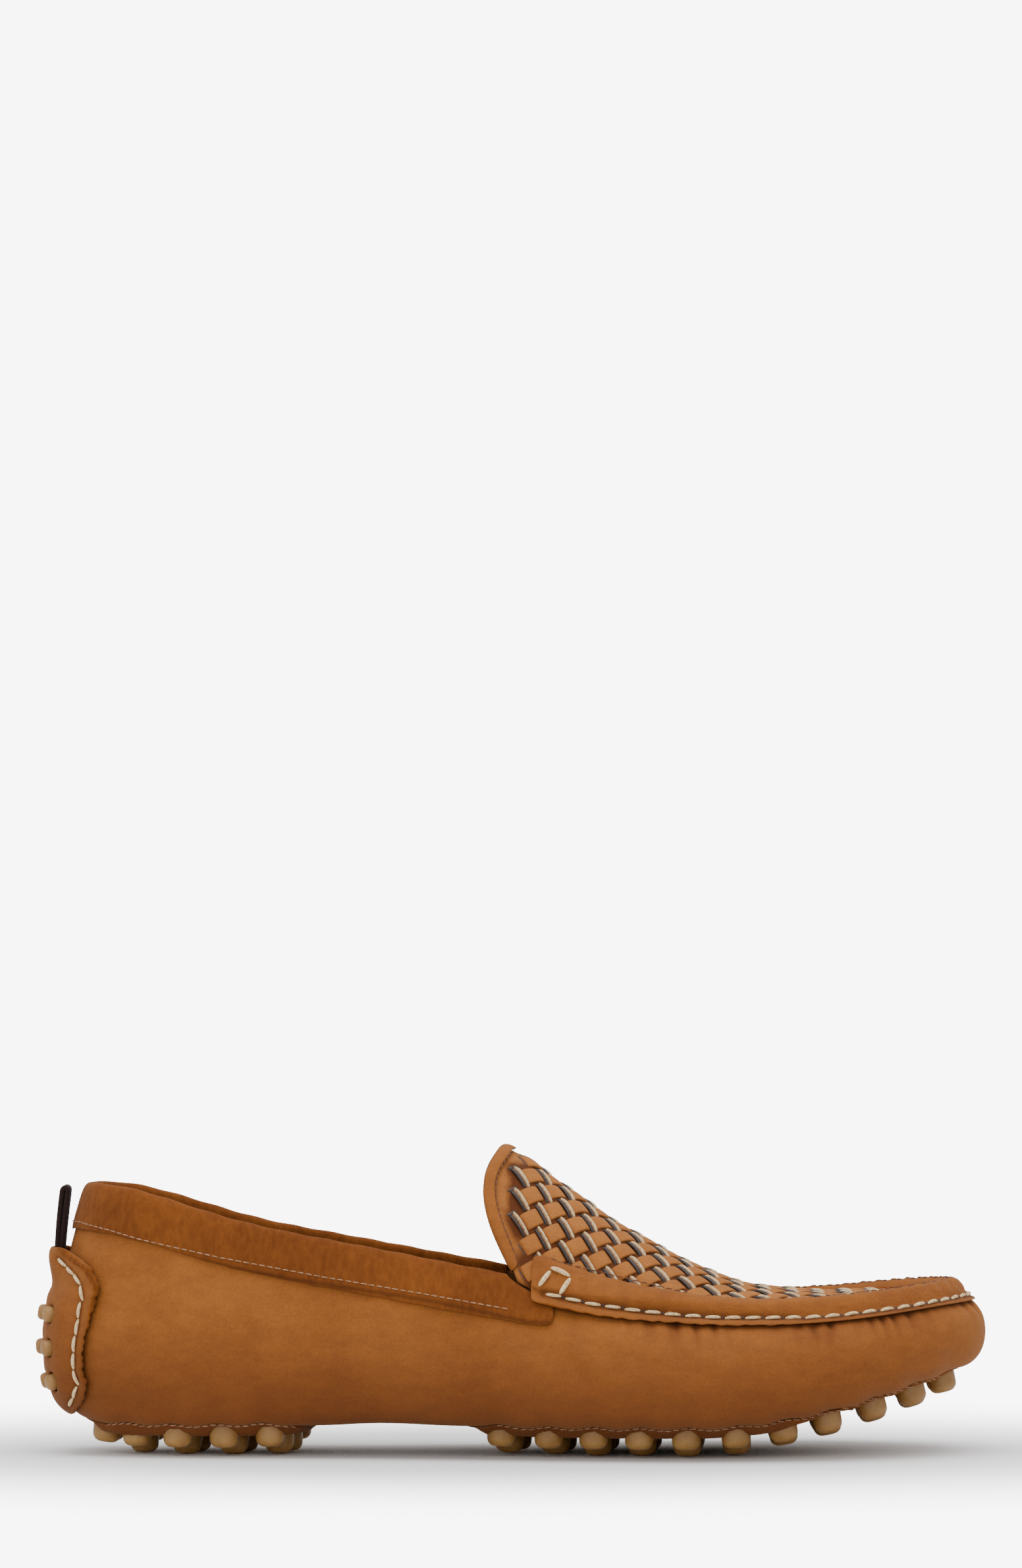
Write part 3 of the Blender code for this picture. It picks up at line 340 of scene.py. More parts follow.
def suede(name, pale, deep):
    """The flesh side of leather, with streaks in its nap where a finger has passed."""
    made, tree, shader = surface(name)
    place = object_place(tree)
    streaks = noise(tree, object_place(tree, (1, 1, 0.35)), 650, 3).band(0.25, 0.75)
    clouds = noise(tree, place, 45, 4).band(0.35, 0.65)
    nap = noise(tree, place, 2100, 2)
    colour = mixed(tree, clouds * 0.4 + streaks * 0.45 + nap * 0.2, deep, pale)
    # painted shade: nearly black where the tone is below 0
    colour = mixed(tree, attribute(tree, "tone") * -1.0, colour, (0.045, 0.012, 0.003, 1))
    height = nap * 0.5 + streaks * 0.5
    finish_of(tree, shader, colour, 0.93, height, 0.4 * MM, 0.7)
    constants(shader, {"Specular IOR Level": 0.12, "Sheen Weight": 0.12, "Sheen Roughness": 0.4})
    constants(shader, {"Sheen Tint": (0.95, 0.6, 0.35, 1)})
    return made


PALE = (0.315, 0.107, 0.021, 1)
DEEP = (0.175, 0.051, 0.009, 1)
SHADOW = (0.070, 0.016, 0.003, 1)
body_leather = nubuck("body_nubuck", PALE, DEEP, SHADOW, lining=(0.11, 0.045, 0.016, 1))
plug_leather = nubuck("plug_nubuck", (0.40, 0.150, 0.036, 1), (0.24, 0.078, 0.016, 1), SHADOW)
collar_suede = suede("collar_suede", (0.205, 0.061, 0.011, 1), (0.105, 0.028, 0.005, 1))
raw_edge = suede("raw_edge", (0.34, 0.105, 0.014, 1), (0.12, 0.028, 0.004, 1))
print("leathers:", [made.name for made in bpy.data.materials if "nubuck" in made.name])

# %% [markdown]
# Threads and laces are twisted yarn, so a fine noise breaks up both their colour and their
# surface. The pegs are honey-coloured rubber. Light goes a little way into it, which Subsurface
# shows, and painted shade darkens it towards its root, where less light comes through.


# %% Thread and rubber
def thread(name, pale, deep):
    """Twisted yarn between two shades."""
    made, tree, shader = surface(name)
    twist = noise(tree, object_place(tree), 1400, 2)
    finish_of(tree, shader, mixed(tree, twist.band(0.3, 0.7), deep, pale), 0.55, twist, 0.2 * MM)
    return made


def rubber(name):
    """Mottled rubber that a little light goes through, with painted shade above the tips."""
    made, tree, shader = surface(name)
    place = object_place(tree)
    mottle = noise(tree, place, 160, 4)
    # painted shade: darker towards the root
    root = height_in(tree, place).band(3.5 * MM, 9 * MM) * 0.45
    colour = mixed(tree, mottle.band(0.3, 0.7), (0.27, 0.135, 0.028, 1), (0.36, 0.20, 0.055, 1))
    colour = mixed(tree, root, colour, (0.20, 0.085, 0.016, 1))
    finish_of(tree, shader, colour, mottle * 0.2 + 0.38, mottle, 0.12 * MM)
    constants(shader, {"Subsurface Weight": 0.35, "Subsurface Scale": 1.0})
    constants(shader, {"Subsurface Radius": (0.004, 0.002, 0.0008)})
    return made


cream_thread = thread("cream_thread", (0.78, 0.60, 0.34, 1), (0.50, 0.31, 0.13, 1))
brown_thread = thread("brown_thread", (0.16, 0.050, 0.014, 1), (0.07, 0.020, 0.006, 1))
pale_thread = thread("pale_thread", (0.38, 0.20, 0.105, 1), (0.18, 0.08, 0.035, 1))
cream_lace = thread("cream_lace", (0.66, 0.49, 0.27, 1), (0.38, 0.23, 0.09, 1))
dark_lace = thread("dark_lace", (0.030, 0.014, 0.009, 1), (0.012, 0.006, 0.004, 1))
brown_lace = thread("brown_lace", (0.24, 0.10, 0.035, 1), (0.12, 0.045, 0.016, 1))
# painted shade: dark beads stand for the shade inside needle holes and slits
hole_shade = thread("needle_hole", (0.05, 0.018, 0.007, 1), (0.03, 0.01, 0.004, 1))
peg_rubber = rubber("honey_rubber")
print("materials:", len(bpy.data.materials))

# %% [markdown]
# Seams run round the shoe, so stitches need a path: along the outer side, round the toe, back
# along the inner side and round the heel. A ray from outside, square to that path and at the
# seam's height, finds the seam on the dressed surface itself, with the way the surface faces.

# %% A path round the shoe
HEEL_TURN, TOE_TURN = -105 * MM, 95 * MM
TOE_RADIUS, HEEL_RADIUS = 45 * MM, 32 * MM
SIDE = TOE_TURN - HEEL_TURN
TOE_WAY, HEEL_WAY = math.pi * TOE_RADIUS, math.pi * HEEL_RADIUS
WHOLE_WAY = 2 * SIDE + TOE_WAY + HEEL_WAY
WELL_OUTSIDE = 150 * MM


def round_ray(way):
    """Where the ray starts from the shoe's axis and the level direction outwards, this far round."""
    way %= WHOLE_WAY
    if way < SIDE:
        return Vector((HEEL_TURN + way, 0, 0)), Vector((0, -1, 0))
    way -= SIDE
    if way < TOE_WAY:
        turn = way / TOE_RADIUS - math.pi / 2
        return Vector((TOE_TURN, 2 * MM, 0)), Vector((math.cos(turn), math.sin(turn), 0))
    way -= TOE_WAY
    if way < SIDE:
        return Vector((TOE_TURN - way, 0, 0)), Vector((0, 1, 0))
    turn = (way - SIDE) / HEEL_RADIUS + math.pi / 2
    return Vector((HEEL_TURN, 0, 0)), Vector((math.cos(turn), math.sin(turn), 0))


def curve(*stops):
    """A height as a function of x, in mm, straight between stops of (x, height)."""
    xs, zs = zip(*stops)
    return lambda x: float(np.interp(x / MM, xs, zs)) * MM


def without_strays(found):
    """Drops the points that leave the line of their neighbours, where a ray slipped past an edge."""
    if len(found) < 6:
        return found
    points = np.array([point for point, _ in found])
    kept = []
    for k, place in enumerate(found):
        near = [j for j in range(max(0, k - 3), min(len(found), k + 4)) if j != k]
        middle = np.median(points[near], axis=0)
        spread = np.linalg.norm(points[near] - middle, axis=1).mean()
        if np.linalg.norm(points[k] - middle) < 0.9 * spread + 0.6 * MM:
            kept.append(place)
    return kept


def trail(tree, start, end, height, step=1.5 * MM):
    """Points and normals on a surface along the path between two ways, at a height by x."""
    found = []
    for way in np.arange(start, end, step):
        axis, out = round_ray(way)
        x = axis.x + out.x * 40 * MM
        for _ in range(2):
            level = Vector((axis.x, axis.y, height(x)))
            hit, normal, _, _ = tree.ray_cast(level + out * WELL_OUTSIDE, -out)
            if hit is None:
                break
            x = hit.x
        if hit is not None:
            found.append((hit, normal if normal.dot(out) > 0 else -normal))
    return without_strays(found)


print("once round the shoe:", round(WHOLE_WAY / MM), "mm")


# %% Copies along a path
def new_piece(name, points, polygons, material):
    """One smooth mesh object from points and faces."""
    data = bpy.data.meshes.new(name)
    data.from_pydata(points.tolist(), [], polygons)
    data.materials.append(material)
    data.shade_smooth()
    piece = bpy.data.objects.new(name, data)
    bpy.context.scene.collection.objects.link(piece)
    return piece


def evenly(found, pitch, offset=0.5):
    """Places along a trail at an even pitch: point, direction of travel and normal."""
    points = np.array([point for point, _ in found])
    walked = np.concatenate([[0], np.cumsum(np.linalg.norm(np.diff(points, axis=0), axis=1))])
    places = []
    for at in np.arange(pitch * offset, walked[-1], pitch):
        k = int(np.clip(np.searchsorted(walked, at), 1, len(found) - 1))
        t = (at - walked[k - 1]) / max(1e-9, walked[k] - walked[k - 1])
        point = Vector(points[k - 1] * (1 - t) + points[k] * t)
        ahead = Vector(points[min(k + 1, len(found) - 1)] - points[max(k - 2, 0)]).normalized()
        places.append((point, ahead, found[k][1]))
    return places


def lay(name, template, places, material, lift=0.0, turn=0.0):
    """Copies a small template to every place, its X along the travel and its Z out, as one mesh."""
    base, _ = corners_of(template)
    faces = [list(p.vertices) for p in template.data.polygons]
    points, polygons = [], []
    for point, ahead, normal in places:
        aside = normal.cross(ahead).normalized()
        ahead = aside.cross(normal).normalized()
        if turn:
            ahead, aside = (
                ahead * math.cos(turn) + aside * math.sin(turn),
                aside * math.cos(turn) - ahead * math.sin(turn),
            )
        axes = np.array([ahead, aside, normal])
        start = len(points) * len(base)
        points.append(base @ axes + np.array(point + normal * lift))
        polygons += [[k + start for k in face] for face in faces]
    return new_piece(name, np.concatenate(points), polygons, material)


# %% [markdown]
# One stitch is a bead of thread that dives into the leather at both ends. It is modelled once
# from a sphere, stretched and arched in edit mode, and then copied along each seam.

# %% Templates for stitches and needle holes
templates = []


def bead(length, thick, arch, segments=10, rings=7):
    """A stitch along X: a stretched sphere whose ends bend down by the arch."""
    bpy.ops.object.select_all(action="DESELECT")
    bpy.ops.mesh.primitive_uv_sphere_add(segments=segments, ring_count=rings, radius=1)
    made = bpy.context.object
    upright = {"orient_axis": "Y", "center_override": (0, 0, 0)}
    edited(made, bpy.ops.transform.rotate, value=math.pi / 2, **upright)
    points, _ = corners_of(made)
    # fuller than a sphere, because thread keeps its thickness until close to its ends
    reach = np.clip(np.abs(points[:, 0]), 0, 1)
    full = np.sqrt(np.clip(1 - reach**3, 0, 1)) / np.maximum(1e-6, np.sqrt(1 - reach**2 + 1e-12))
    points[:, 1:] *= np.clip(full, 1, 1.6)[:, None] * thick / 2
    points[:, 0] *= length / 2
    points[:, 2] -= arch * (points[:, 0] / (length / 2)) ** 2
    move_to(made, points)
    templates.append(made)
    return made


hand_stitch = bead(5.0 * MM, 1.1 * MM, 0.55 * MM, 12, 9)
machine_stitch = bead(2.1 * MM, 0.42 * MM, 0.14 * MM, 8, 5)
bar_stitch = bead(6.4 * MM, 1.5 * MM, 0.5 * MM, 12, 9)
needle_hole = bead(1.1 * MM, 1.5 * MM, 0.0, 10, 6)
print("stitch templates:", len(templates))

# %% [markdown]
# The upper is the hammock itself. The solid is rounded, and then the marks of making and wear
# are pressed in. A noise texture would wrinkle it all over, so each fold has its own line in a
# table, where the photograph shows it: puckers under the apron seam, where the fullness of the
# leather is gathered into each stitch, a soft break at the ball of the foot, a few slack folds at
# the waist, and leather that swells between the pegs.

# %% Round the upper and find its outer skin
upper = rounded(copy_of("upper", "hammock_upper"), 3)
points, normals = corners_of(upper)
x, y, z = points.T / MM
to_axis = np.stack([np.clip(x, -105, 95), np.zeros_like(x), np.full_like(x, 32.0)], 1)
away = points / MM - to_axis
away[:, 2] *= np.where(z < 15, 1.0, 0.15)
outside = (away * normals).sum(1) > 0
print("upper:", len(points), "vertices,", int(outside.sum()), "on its outer skin")

# %% Folds from the foot's bending
# each fold: side (-1 outer, 1 inner, 0 both), its two ends as (x, z), half-width and depth in mm
FOLDS = [
    (0, (8, 34), (26, 22), 3.4, 0.55),
    (-1, (20, 36), (34, 27), 2.6, 0.40),
    (-1, (34, 33), (44, 25), 2.2, 0.32),
    (-1, (49, 31), (57, 24), 2.4, 0.30),
    (-1, (66, 33), (72, 26), 2.6, 0.32),
    (0, (-22, 40), (-4, 20), 7.0, 0.70),
    (0, (-58, 44), (-38, 16), 9.0, 0.60),
    (1, (24, 34), (38, 24), 3.0, 0.45),
    (-1, (88, 36), (96, 29), 3.0, 0.35),
    (0, (106, 38), (112, 31), 3.0, 0.35),
    (0, (-120, 60), (-96, 30), 8.0, 0.45),
]
shift = np.zeros_like(x)
for side, (x0, z0), (x1, z1), width, depth in FOLDS:
    run = np.array([x1 - x0, z1 - z0], float)
    t = ((x - x0) * run[0] + (z - z0) * run[1]) / (run @ run)
    near = np.clip(t, 0, 1)
    away_from = np.hypot(x - x0 - near * run[0], z - z0 - near * run[1]) / width
    fade = np.clip(1 - (2 * near - 1) ** 2 * 0.6, 0, 1)
    on_side = 1.0 if side == 0 else ease(4, 14, y * side)
    trough = -np.exp(-(away_from**2)) + 0.45 * np.exp(-((away_from - 1.9) ** 2) * 1.6)
    shift += depth * trough * fade * on_side
print("folds:", len(FOLDS), "down to", round(-float(shift.min()), 2), "mm")

# %% Puckers under the apron seam
# one hangs from each hand stitch, some deeper than others, and they fade out 10 mm below the seam
STITCH = 5.9 * MM
seam_z = np.interp(x, [5, 30, 57, 80, 107, 125, 142], [48, 42.6, 40.3, 39.6, 41.4, 44, 46.2])
down = seam_z - z
along = np.where(x > 95, 95 + 45 * np.arctan2(np.abs(y - 2), np.maximum(1, x - 95)), x)
gather = np.cos(along * 2 * np.pi / (STITCH / MM) + 1.4 * np.sin(along * 0.21)) * 0.5 + 0.5
gather = gather**1.6 * (0.55 + 0.45 * np.sin(along * 0.137 + 1.0))
hanging = ease(-4, 1, down) * (1 - ease(1, 10, down)) * ease(4, 16, x)
shift -= 0.8 * gather * hanging
print("puckers reach", round(float(z[hanging > 0.01].min())), "mm above the floor")

# %% Leather between the pegs, lining and shade
# the leather swells between the pegs and is drawn in at each one
peg_x = np.array([-3.4, 10.9, 24.3, 37.9, 51.9, 66.7, 80.5, 93.7, 107.2, 119.2, 130.0])
heel_x = np.array([-113, -100.4, -86.7, -73])
drawn = np.zeros_like(x)
for place in np.concatenate([peg_x, heel_x]):
    drawn = np.maximum(drawn, np.exp(-(((x - place) / 4.0) ** 2)))
bottom = 1 - ease(12, 22, z - np.interp(x, [60, 100, 140], [0, 5, 17]))
shift += (0.45 - 0.9 * drawn) * bottom * outside * (z > 9)

points += normals * (shift * outside * MM)[:, None]
move_to(upper, points)
# painted shade in the puckers and along the apron seam; the toe is rubbed paler
crease_shade = -0.5 * hanging * gather - 0.55 * np.exp(-((down / 1.8) ** 2)) * ease(4, 10, x)
rubbed = 0.25 * np.exp(-(((x - 139) / 7) ** 2)) * (np.abs(y) < 26)
tone(upper, np.where(outside, crease_shade + rubbed, 0))
tone(upper, (~outside).astype(float), "inner")
upper.data.materials.append(body_leather)
dress(upper, "upper", "upper")
upper_tree = tree_of(upper)

# %% [markdown]
# The plug is one leather sheet under a plain weave on the bias: wide nubuck strips run one way,
# and a dark lace, a thin brown strip and a cream lace run together the other way. The weave is
# easiest to make flat, as cloth, and then drape over the foot. So the plug's smooth form is
# needed first: a B-spline sheet fitted through points found by rays on the solid's underside.

# %% The plug's smooth form
vamp_tree = tree_of(frame["nodes"]["woven_vamp"])
KNOT = 7 * MM
FORM_START = (-16 * MM, -46 * MM)
FORM_COUNT = (26, 17)
UNDER_PLUG = 20 * MM


def height_over(x, y):
    """The height of the plug's underside straight above a place in plan, or None beside it."""
    hit = vamp_tree.ray_cast(Vector((x, y, UNDER_PLUG)), Vector((0, 0, 1)))[0]
    return None if hit is None else hit.z


def spline_weights(places):
    """For each place, which control heights it depends on and how much, for a cubic B-spline."""
    weights = np.zeros((len(places), FORM_COUNT[0] * FORM_COUNT[1]))
    parts = []
    for axis in (0, 1):
        u = (places[:, axis] - FORM_START[axis]) / KNOT + 1
        k = np.clip(np.floor(u).astype(int), 1, FORM_COUNT[axis] - 3)
        t = u - k
        blend = [(1 - t) ** 3, 3 * t**3 - 6 * t**2 + 4, -3 * t**3 + 3 * t**2 + 3 * t + 1, t**3]
        parts.append((k, np.stack(blend) / 6))
    rows = np.arange(len(places))
    for i in range(4):
        for j in range(4):
            column = (parts[0][0] + i - 1) * FORM_COUNT[1] + parts[1][0] + j - 1
            weights[rows, column] += parts[0][1][i] * parts[1][1][j]
    return weights


samples = []
for sx in np.arange(-9 * MM, 135 * MM, 2 * MM):
    for sy in np.arange(-42 * MM, 42 * MM, 2 * MM):
        height = height_over(sx, sy)
        if height is not None:
            samples.append((sx, sy, height))
samples = np.array(samples)
print("plug form:", len(samples), "points")

# %% [markdown]
# The control heights are the ones that miss the sampled points least, found by least squares. Some
# control points lie past the plug's edge, where nothing holds them. So a weak wish for
# straightness between neighbours is added, which lets the sheet run on smoothly there.

# %% Fit the form
STIFFNESS = 0.06
grid = np.arange(FORM_COUNT[0] * FORM_COUNT[1]).reshape(FORM_COUNT)
stiff = []
for line in list(grid) + list(grid.T):
    for a, b, c in zip(line, line[1:], line[2:]):
        row = np.zeros(grid.size)
        row[[a, b, c]] = STIFFNESS, -2 * STIFFNESS, STIFFNESS
        stiff.append(row)
system = np.concatenate([spline_weights(samples[:, :2]), np.array(stiff)])
wanted = np.concatenate([samples[:, 2], np.zeros(len(stiff))])
control = np.linalg.lstsq(system, wanted, rcond=None)[0]
misfit = np.abs(spline_weights(samples[:, :2]) @ control - samples[:, 2])
print("mean misfit of the form:", round(float(misfit.mean() / MM), 3), "mm")


# %% Points on the form
def form_height(places):
    """The height of the plug's underside at places in plan, for any number of them."""
    places = np.asarray(places, float)
    return np.concatenate(
        [spline_weights(part) @ control for part in np.array_split(places, len(places) // 4000 + 1)]
    )


def form_point(places, out):
    """Points this far out of the plug's underside, along its normal."""
    step = 0.2 * MM
    places = np.asarray(places, float)
    heights = form_height(places)
    slope_x = (form_height(places + [step, 0]) - form_height(places - [step, 0])) / (2 * step)
    slope_y = (form_height(places + [0, step]) - form_height(places - [0, step])) / (2 * step)
    normal = np.stack([-slope_x, -slope_y, np.ones(len(places))], 1)
    normal /= np.linalg.norm(normal, axis=1)[:, None]
    return np.column_stack([places, heights]) + normal * np.asarray(out)[:, None]


# %% [markdown]
# Cloth coordinates are lengths measured on the plug itself: s along its ridge from behind the
# tongue, and w across it to the outer side. Tables of arc length turn them into places in plan.

# %% From flat cloth to the plug
CLOTH_START = -13.7 * MM
RIDGE_STEP = 0.5 * MM


def middle_at(x):
    """Halfway across the plug, between the first and the last point sampled near this x."""
    row = samples[np.abs(samples[:, 0] - np.clip(x, 6 * MM, 130 * MM)) < 1.1 * MM, 1]
    return (row[0] + row[-1]) / 2


ridge_x = np.arange(CLOTH_START, 136 * MM, RIDGE_STEP)
middle_y = np.array([middle_at(at) for at in ridge_x])
middle_y = np.polyval(np.polyfit(ridge_x[::4], middle_y[::4], 4), ridge_x)
ridge_z = form_height(np.column_stack([ridge_x, middle_y]))
ridge_s = np.concatenate([[0], np.cumsum(np.hypot(np.diff(ridge_x), np.diff(ridge_z)))])
across_y = np.arange(-46, 46.1, 0.5) * MM
across_w = np.empty((len(ridge_x), len(across_y)))
for k, at in enumerate(ridge_x):
    line = form_height(np.column_stack([np.full(len(across_y), at), across_y]))
    walked = np.concatenate([[0], np.cumsum(np.hypot(np.diff(across_y), np.diff(line)))])
    across_w[k] = np.interp(middle_y[k], across_y, walked) - walked


def plan_of(cloth):
    """The place in plan of each (s, w) of the cloth, w counting to the outer side."""
    found = np.empty((len(cloth), 2))
    at_x = np.interp(cloth[:, 0], ridge_s, ridge_x)
    row = (at_x - CLOTH_START) / RIDGE_STEP
    low = np.clip(row.astype(int), 0, len(ridge_x) - 2)
    for k, (here, t, w) in enumerate(zip(low, row - low, cloth[:, 1])):
        line = across_w[here] * (1 - t) + across_w[here + 1] * t
        found[k] = at_x[k], np.interp(-w, -line, across_y)
    return found


def on_plug(s, w):
    """Whether the plug's solid lies at a place of the cloth."""
    return height_over(*plan_of(np.array([[s, w]]))[0]) is not None


print("ridge of the plug:", round(ridge_s[-1] / MM, 1), "mm long")

# %% [markdown]
# Under the weave lies the plug's own leather. The solid has the strips raised on it, and they
# would show beside the real ones. So the copy keeps its plan and is pressed flat: each vertex
# keeps its height above the form only up to the thickness of the sheet.

# %% The plug's own leather sheet
SHEET = 1.25 * MM
plug = edited(copy_of("woven_vamp", "plug_sheet"), bpy.ops.mesh.subdivide, number_cuts=2)
bpy.ops.object.shade_smooth()
points, _ = corners_of(plug)
places = points[:, :2]
under = form_point(places, np.zeros(len(places)))
step = form_point(places, np.full(len(places), 1.0 * MM)) - under
rise = (points[:, 2] - under[:, 2]) * step[:, 2] / MM
foot = places - step[:, :2] / MM * rise[:, None]
move_to(plug, form_point(foot, np.clip(rise, 0, SHEET)))
plug.data.materials.append(plug_leather)
print("the plug's sheet is", SHEET / MM, "mm thick, the solid up to", round(rise.max() / MM, 1), "mm")

# %% [markdown]
# Two motifs make the whole weave: a nubuck strip where it passes over, domed, with ends that
# dive under their neighbours, and the three laces where they arch over a strip. Both are
# modelled flat from primitives, copied to every crossing of the cloth and draped.

# %% A strip that passes over
PITCH = 5.87 * MM
STRIP = (9.9 * MM, 4.9 * MM)


def strip_motif():
    """A strip passing over, along X: a grid with thickness, rounded, its ends bent down."""
    bpy.ops.object.select_all(action="DESELECT")
    bpy.ops.mesh.primitive_grid_add(x_subdivisions=8, y_subdivisions=5, size=1)
    made = bpy.context.object
    points, _ = corners_of(made)
    points[:, 0] *= STRIP[0]
    points[:, 1] *= STRIP[1]
    move_to(made, points)
    thick = made.modifiers.new("thickness", "SOLIDIFY")
    thick.thickness, thick.offset = 1.0 * MM, 0.0
    soft = made.modifiers.new("soft", "SUBSURF")
    soft.levels = soft.render_levels = 1
    for name in ("thickness", "soft"):
        bpy.ops.object.modifier_apply(modifier=name)
    points, _ = corners_of(made)
    u, v = points[:, 0] / (STRIP[0] / 2), points[:, 1] / (STRIP[1] / 2)
    points[:, 2] += (1.62 - 1.25 * np.abs(u) ** 3.2 - 0.16 * np.abs(v) ** 2.5) * MM
    move_to(made, points)
    templates.append(made)
    return made


strip = strip_motif()
print("strip motif:", len(strip.data.polygons), "faces")

# %% Three laces that arch over a strip
LACE_RUN = 7.3 * MM


def lace_motif(aside, wide, tall, over):
    """A lace arching over a strip, along Y, at this distance along X from the crossing."""
    bpy.ops.object.select_all(action="DESELECT")
    bpy.ops.mesh.primitive_cylinder_add(vertices=8, radius=1, depth=1, end_fill_type="NOTHING")
    made = bpy.context.object
    bpy.ops.object.mode_set(mode="EDIT")
    bpy.ops.mesh.select_all(action="SELECT")
    bpy.ops.transform.rotate(value=math.pi / 2, orient_axis="X", center_override=(0, 0, 0))
    for cut in (0, -0.4, -0.3, -0.2, -0.1, 0.1, 0.2, 0.3, 0.4):
        bpy.ops.mesh.select_all(action="SELECT")
        bpy.ops.mesh.bisect(plane_co=(0, cut, 0), plane_no=(0, 1, 0))
    bpy.ops.mesh.select_all(action="SELECT")
    bpy.ops.mesh.edge_face_add()
    bpy.ops.object.mode_set(mode="OBJECT")
    points, _ = corners_of(made)
    points[:, 0] = points[:, 0] * wide / 2 + aside
    points[:, 2] *= tall / 2
    points[:, 2] += over - 1.0 * MM * (np.abs(points[:, 1]) / 0.5) ** 3.2
    points[:, 1] *= LACE_RUN
    move_to(made, points)
    templates.append(made)
    return made


laces = {
    "dark_lace": (lace_motif(-0.95 * MM, 1.3 * MM, 0.9 * MM, 1.72 * MM), dark_lace),
    "brown_lace": (lace_motif(-0.05 * MM, 0.75 * MM, 0.8 * MM, 1.60 * MM), brown_lace),
    "cream_lace": (lace_motif(0.82 * MM, 1.2 * MM, 1.1 * MM, 1.85 * MM), cream_lace),
}
print("lace motifs:", {name: len(motif.data.polygons) for name, (motif, _) in laces.items()}, "faces")

# %% [markdown]
# On the bias the strips run at 45 degrees to the shoe, so each crossing is counted twice: as p
# along the strips and q along the laces, and as s and w along and across the cloth. A motif goes
# in only where its middle and both its ends lie on the plug, because one that reaches past the
# edge would come out through the roll. At the tongue a plain margin is left.

# %% Which crossings the weave has
TONGUE_MARGIN = 5.0 * MM
MARGIN_ENDS = 45 * MM
END_REACH = 4.3 * MM


def on_bias(p, q):
    """Lengths along and across the cloth from lengths along the strips and along the laces."""
    return (p + q) / math.sqrt(2), (q - p) / math.sqrt(2)


def in_weave(p, q, reach, run):
    """Whether a crossing and both ends of its motif lie on the plug, clear of the plain margin."""
    ends = [(p, q)] + [(p + k * run[0], q + k * run[1]) for k in (-END_REACH, END_REACH)]
    if not all(on_plug(*on_bias(a, b)) for a, b in ends):
        return False
    s, w = on_bias(p, q)
    if s > MARGIN_ENDS:
        return True
    back = reach + TONGUE_MARGIN
    turned = [(-back, 0), (-back * 0.75, back * 0.6), (-back * 0.75, -back * 0.6)]
    if abs(w) > 24 * MM:
        turned = turned[:1]
    return all(on_plug(s + ds, w + dw) for ds, dw in turned)


over_strips, over_laces = [], []
for n in range(-14, 30):
    for m in range(-4, 42):
        p, q = n * PITCH, m * PITCH
        s, w = on_bias(p, q)
        if not (14 * MM < s < ridge_s[-1] - 2 * MM and abs(w) < 62 * MM):
            continue
        if (n + m) % 2:
            if in_weave(p, q, 3.0 * MM, (1, 0)):
                over_strips.append((p, q))
        elif in_weave(p, q, 2.8 * MM, (0, 1)):
            over_laces.append((p, q))
print("weave:", len(over_strips), "strips over,", len(over_laces), "laces over")

# %% Shade under the weave
crossings = np.array(over_strips + over_laces)
woven_plan = plan_of(np.column_stack(on_bias(crossings[:, 0], crossings[:, 1])))
points, _ = corners_of(plug)
to_weave = np.array([np.hypot(*(woven_plan - point[:2]).T).min() for point in points])
tone(plug, -0.1 - 0.85 * (1 - ease(3.2 * MM, 4.6 * MM, to_weave)))
dress(plug, "woven_vamp", "woven_vamp")


# %% Drape the strips and the laces
def woven(name, motif, crossings, material, shade=None):
    """Copies a motif to every crossing of the flat cloth, and drapes it over the plug."""
    base, _ = corners_of(motif)
    faces = [list(p.vertices) for p in motif.data.polygons]
    flat, polygons = [], []
    for number, (p, q) in enumerate(crossings):
        start = number * len(base)
        # each crossing sits a hair to one side and stands a little higher or lower than the next
        sway = 0.12 * MM * math.sin(p / MM * 1.7 + q / MM * 2.3)
        lean = 1 + 0.08 * math.sin(p / MM * 0.9 - q / MM * 1.3)
        flat.append(base * [1, 1, lean] + [p + sway, q + sway / 2, 0])
        polygons += [[k + start for k in face] for face in faces]
    flat = np.concatenate(flat)
    cloth = np.column_stack(on_bias(flat[:, 0], flat[:, 1]))
    piece = new_piece(name, form_point(plan_of(cloth), flat[:, 2]), polygons, material)
    edited(piece, bpy.ops.mesh.normals_make_consistent, inside=False)
    if shade is not None:
        tone(piece, np.tile(shade, len(crossings)))
    dress(piece, "woven_vamp")


points, _ = corners_of(strip)
u, v = np.abs(points[:, 0]) / (STRIP[0] / 2), np.abs(points[:, 1]) / (STRIP[1] / 2)
strip_shade = -0.85 * ease(0.70, 0.97, u) - 0.75 * ease(0.80, 1.0, v)
woven("woven_strips", strip, over_strips, plug_leather, strip_shade)
for name, (motif, material) in laces.items():
    woven(name, motif, over_laces, material)


# %% [markdown]
# On the tongue's plain margin the strips and laces come up through slits cut in the leather. A
# slit could be cut through the sheet, but only the shade in its mouth shows. So that shade is
# painted: one dark bead, flattened onto the sheet, behind the first strip or lace of each row.


# %% Slits on the tongue
def slit_motif(turned, back):
    """A slit across the start of a strip, or of a lace, this far behind its crossing."""
    made = bead(4.4 * MM, 0.85 * MM, 0.0)
    points, _ = corners_of(made)
    points[:, 2] = points[:, 2] * 0.4 + SHEET
    points = points[:, [1, 0, 2]] - [back, 0, 0] if turned else points - [0, back, 0]
    move_to(made, points)
    return made


def firsts(found, step_p, step_q):
    """The crossings of the tongue with none of their own kind behind them in their row."""
    cells = {(round(p / PITCH), round(q / PITCH)) for p, q in found}
    return [
        (p, q)
        for p, q in found
        if (round(p / PITCH) - step_p, round(q / PITCH) - step_q) not in cells
        and p + q < 60 * MM
    ]


